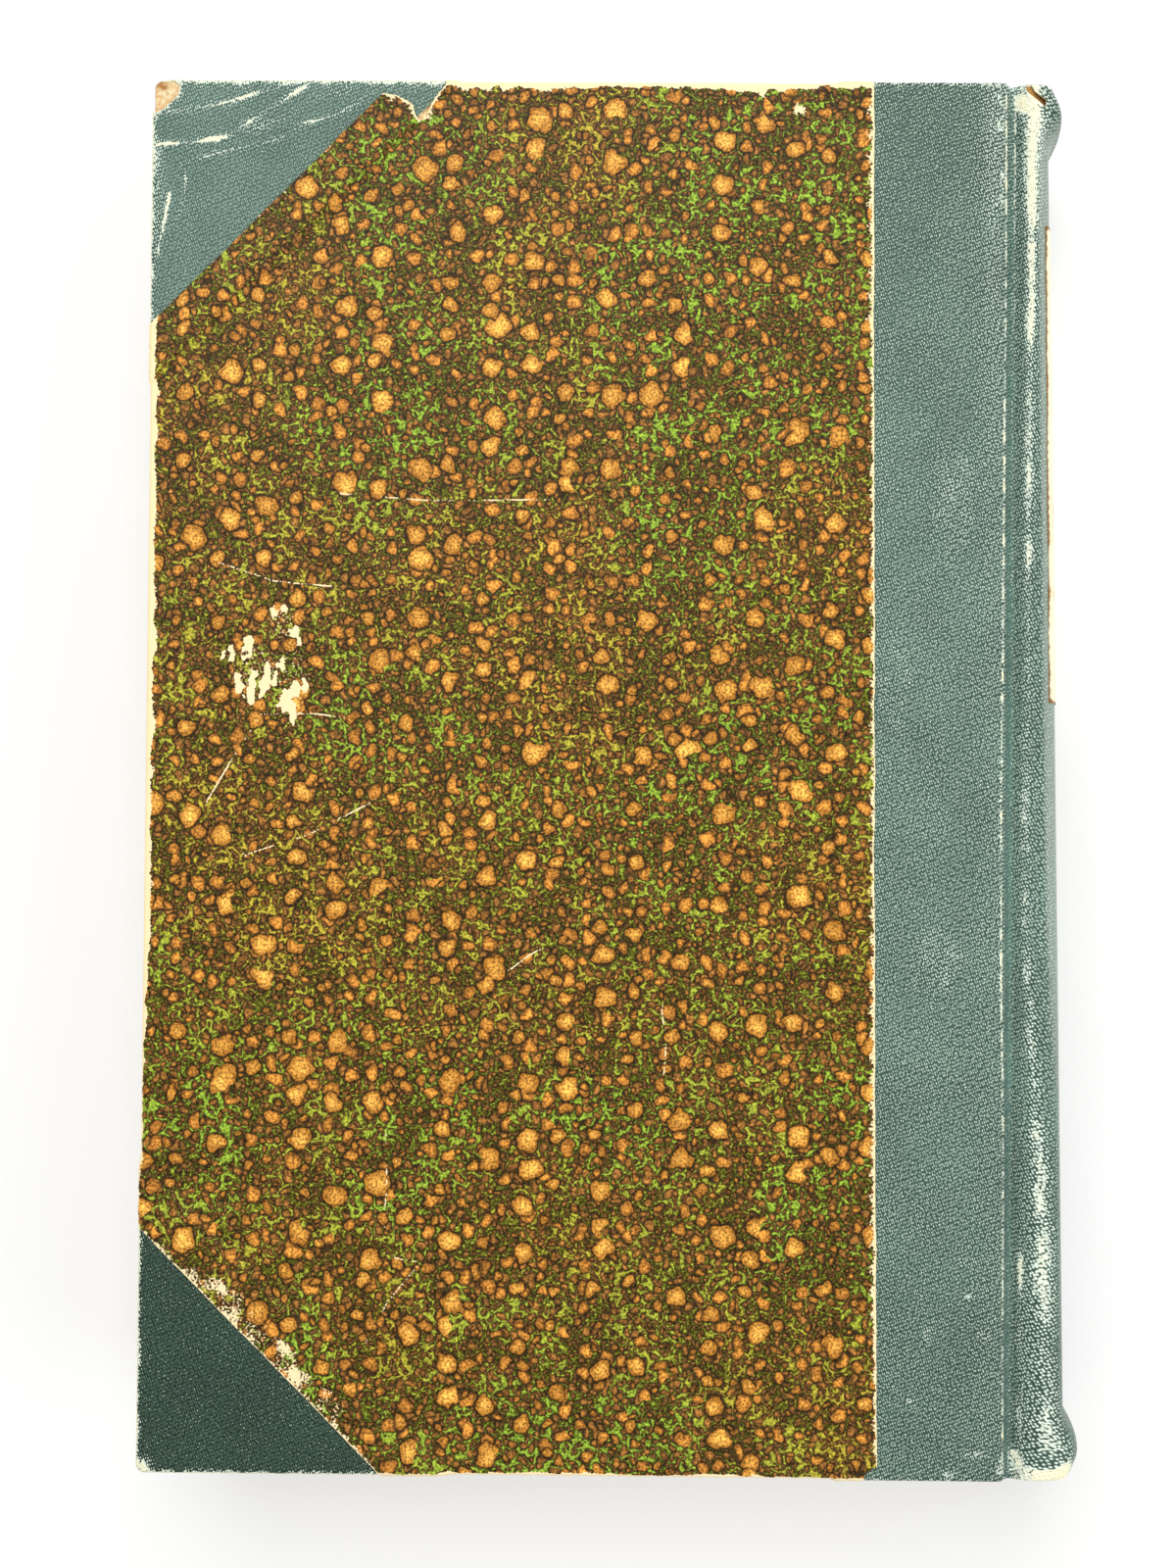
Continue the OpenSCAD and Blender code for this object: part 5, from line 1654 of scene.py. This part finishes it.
# Kraft paper and card, unbleached: matt, short fibres with darker shives.
def makeFibrous(name, light, dark):
    material, tree = startMaterial(name)
    place = addNode(tree, "ShaderNodeTexCoord").outputs["Object"]
    fibres = addNode(tree, "ShaderNodeTexNoise", {
        "Vector": place, "Scale": 1000 / linings["fibres"], "Detail": 5.0, "Distortion": 1.2})
    shives = addNode(tree, "ShaderNodeTexNoise", {
        "Vector": place, "Scale": 1000 / linings["shives"], "Detail": 2.0})
    share = addNode(tree, "ShaderNodeMapRange", {"Value": fibres, "From Min": 0.35, "From Max": 0.65})
    dots = addNode(tree, "ShaderNodeMapRange", {
        "Value": shives, "From Min": 0.62, "From Max": 0.7, "To Max": 0.5})
    colour = addNode(tree, "ShaderNodeMix", {0: share, 6: dark, 7: light}, mixed)
    final = addNode(tree, "ShaderNodeMix", {0: dots, 6: colour, 7: dark}, mixed)
    endMaterial(tree, final, 0.85, fibres, 0.06, {"Specular IOR Level": 0.2})
    return material


def dressFrame():
    twill = makeWoven("tapeTwill", *linings["twill"])
    mull = makeWoven("stiffenedMull", *linings["mull"])
    finishes = {
        "spine_mull": mull,
        "spine_liner": makeFibrous("kraftLiner", *linings["kraft"]),
        "spine_inlay": makeFibrous("hollowCard", *linings["card"]),
    }
    for i in range(1, 5):
        finishes[f"sewing_tape_{i}"] = twill
    for side in ("back", "front"):
        finishes[f"{side}_flyleaf"] = endpaperFinish
        finishes[f"{side}_tape_slips"] = twill
        finishes[f"{side}_mull_flange"] = mull
    for node, finish in finishes.items():
        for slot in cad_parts[node].material_slots:
            slot.material = finish


dressFrame()
print("frame's own pieces dressed")

# Floor, light and camera

studio = {
    "floor": "#f6f6f4",
    "floorGlow": 0.45,  # share of plain white that the camera sees in it
    "floorHalf": 4,  # metres
    "skyStrength": 0.55,
    "softboxes": [  # name, place, power and size
        ("mainSoftbox", (-0.15, 0.75, 1.15), 14, 1.0),
        ("sideSoftbox", (0.9, -0.4, 0.8), 5, 0.8),
    ],
    "lensAngle": 44,
    "cameraPlace": (-0.00197, -0.01108, 0.45934),
    "cameraTurn": (1.227, 0.566, 0.437),  # degrees about x, y and z at once
}


def makeFloor():
    material, tree = startMaterial("paleFloor")
    ray = addNode(tree, "ShaderNodeLightPath")
    diffuse = addNode(tree, "ShaderNodeBsdfDiffuse", {"Color": studio["floor"]})
    glow = addNode(tree, "ShaderNodeEmission", {"Color": "#ffffff", "Strength": 1.0})
    share = addNode(tree, "ShaderNodeMath", {0: ray.outputs["Is Camera Ray"], 1: studio["floorGlow"]}, times)
    both = addNode(tree, "ShaderNodeMixShader", {0: share, 1: diffuse, 2: glow})
    addNode(tree, "ShaderNodeOutputMaterial", {"Surface": both})
    mesh = bpy.data.meshes.new("floor")
    half = studio["floorHalf"]
    mesh.from_pydata([(x, y, 0) for x, y in cornersOf((-half, -half), (half, half))], [], [(0, 1, 2, 3)])
    mesh.materials.append(material)
    floor = bpy.data.objects.new("floor", mesh)
    bpy.context.scene.collection.objects.link(floor)


def addSoftbox(name, place, power, size):
    light = bpy.data.lights.new(name, "AREA")
    light.energy, light.size = power, size
    holder = bpy.data.objects.new(name, light)
    bpy.context.scene.collection.objects.link(holder)
    holder.location = place
    holder.rotation_euler = (-Vector(place)).to_track_quat("-Z", "Y").to_euler()


def makeStudio():
    world = bpy.data.worlds.new("studio")
    bpy.context.scene.world = world
    world.use_nodes = True
    tree = world.node_tree
    tree.nodes.clear()
    ray = addNode(tree, "ShaderNodeLightPath")
    strength = addNode(tree, "ShaderNodeMapRange", {
        "Value": ray.outputs["Is Camera Ray"], "To Min": studio["skyStrength"], "To Max": 1.0})
    sky = addNode(tree, "ShaderNodeBackground", {"Color": "#ffffff", "Strength": strength})
    addNode(tree, "ShaderNodeOutputWorld", {"Surface": sky})
    for softbox in studio["softboxes"]:
        addSoftbox(*softbox)
    lens = bpy.data.cameras.new("camera")
    lens.angle = math.radians(studio["lensAngle"])
    camera = bpy.data.objects.new("camera", lens)
    bpy.context.scene.collection.objects.link(camera)
    turn = Vector([math.radians(a) for a in studio["cameraTurn"]])
    camera.matrix_world = Matrix.Translation(studio["cameraPlace"]) @ Matrix.Rotation(turn.length, 4, turn)
    lens.clip_start = 0.01
    bpy.context.scene.camera = camera
    bpy.context.scene.view_settings.view_transform = "Standard"


makeFloor()
makeStudio()
print("studio set up")
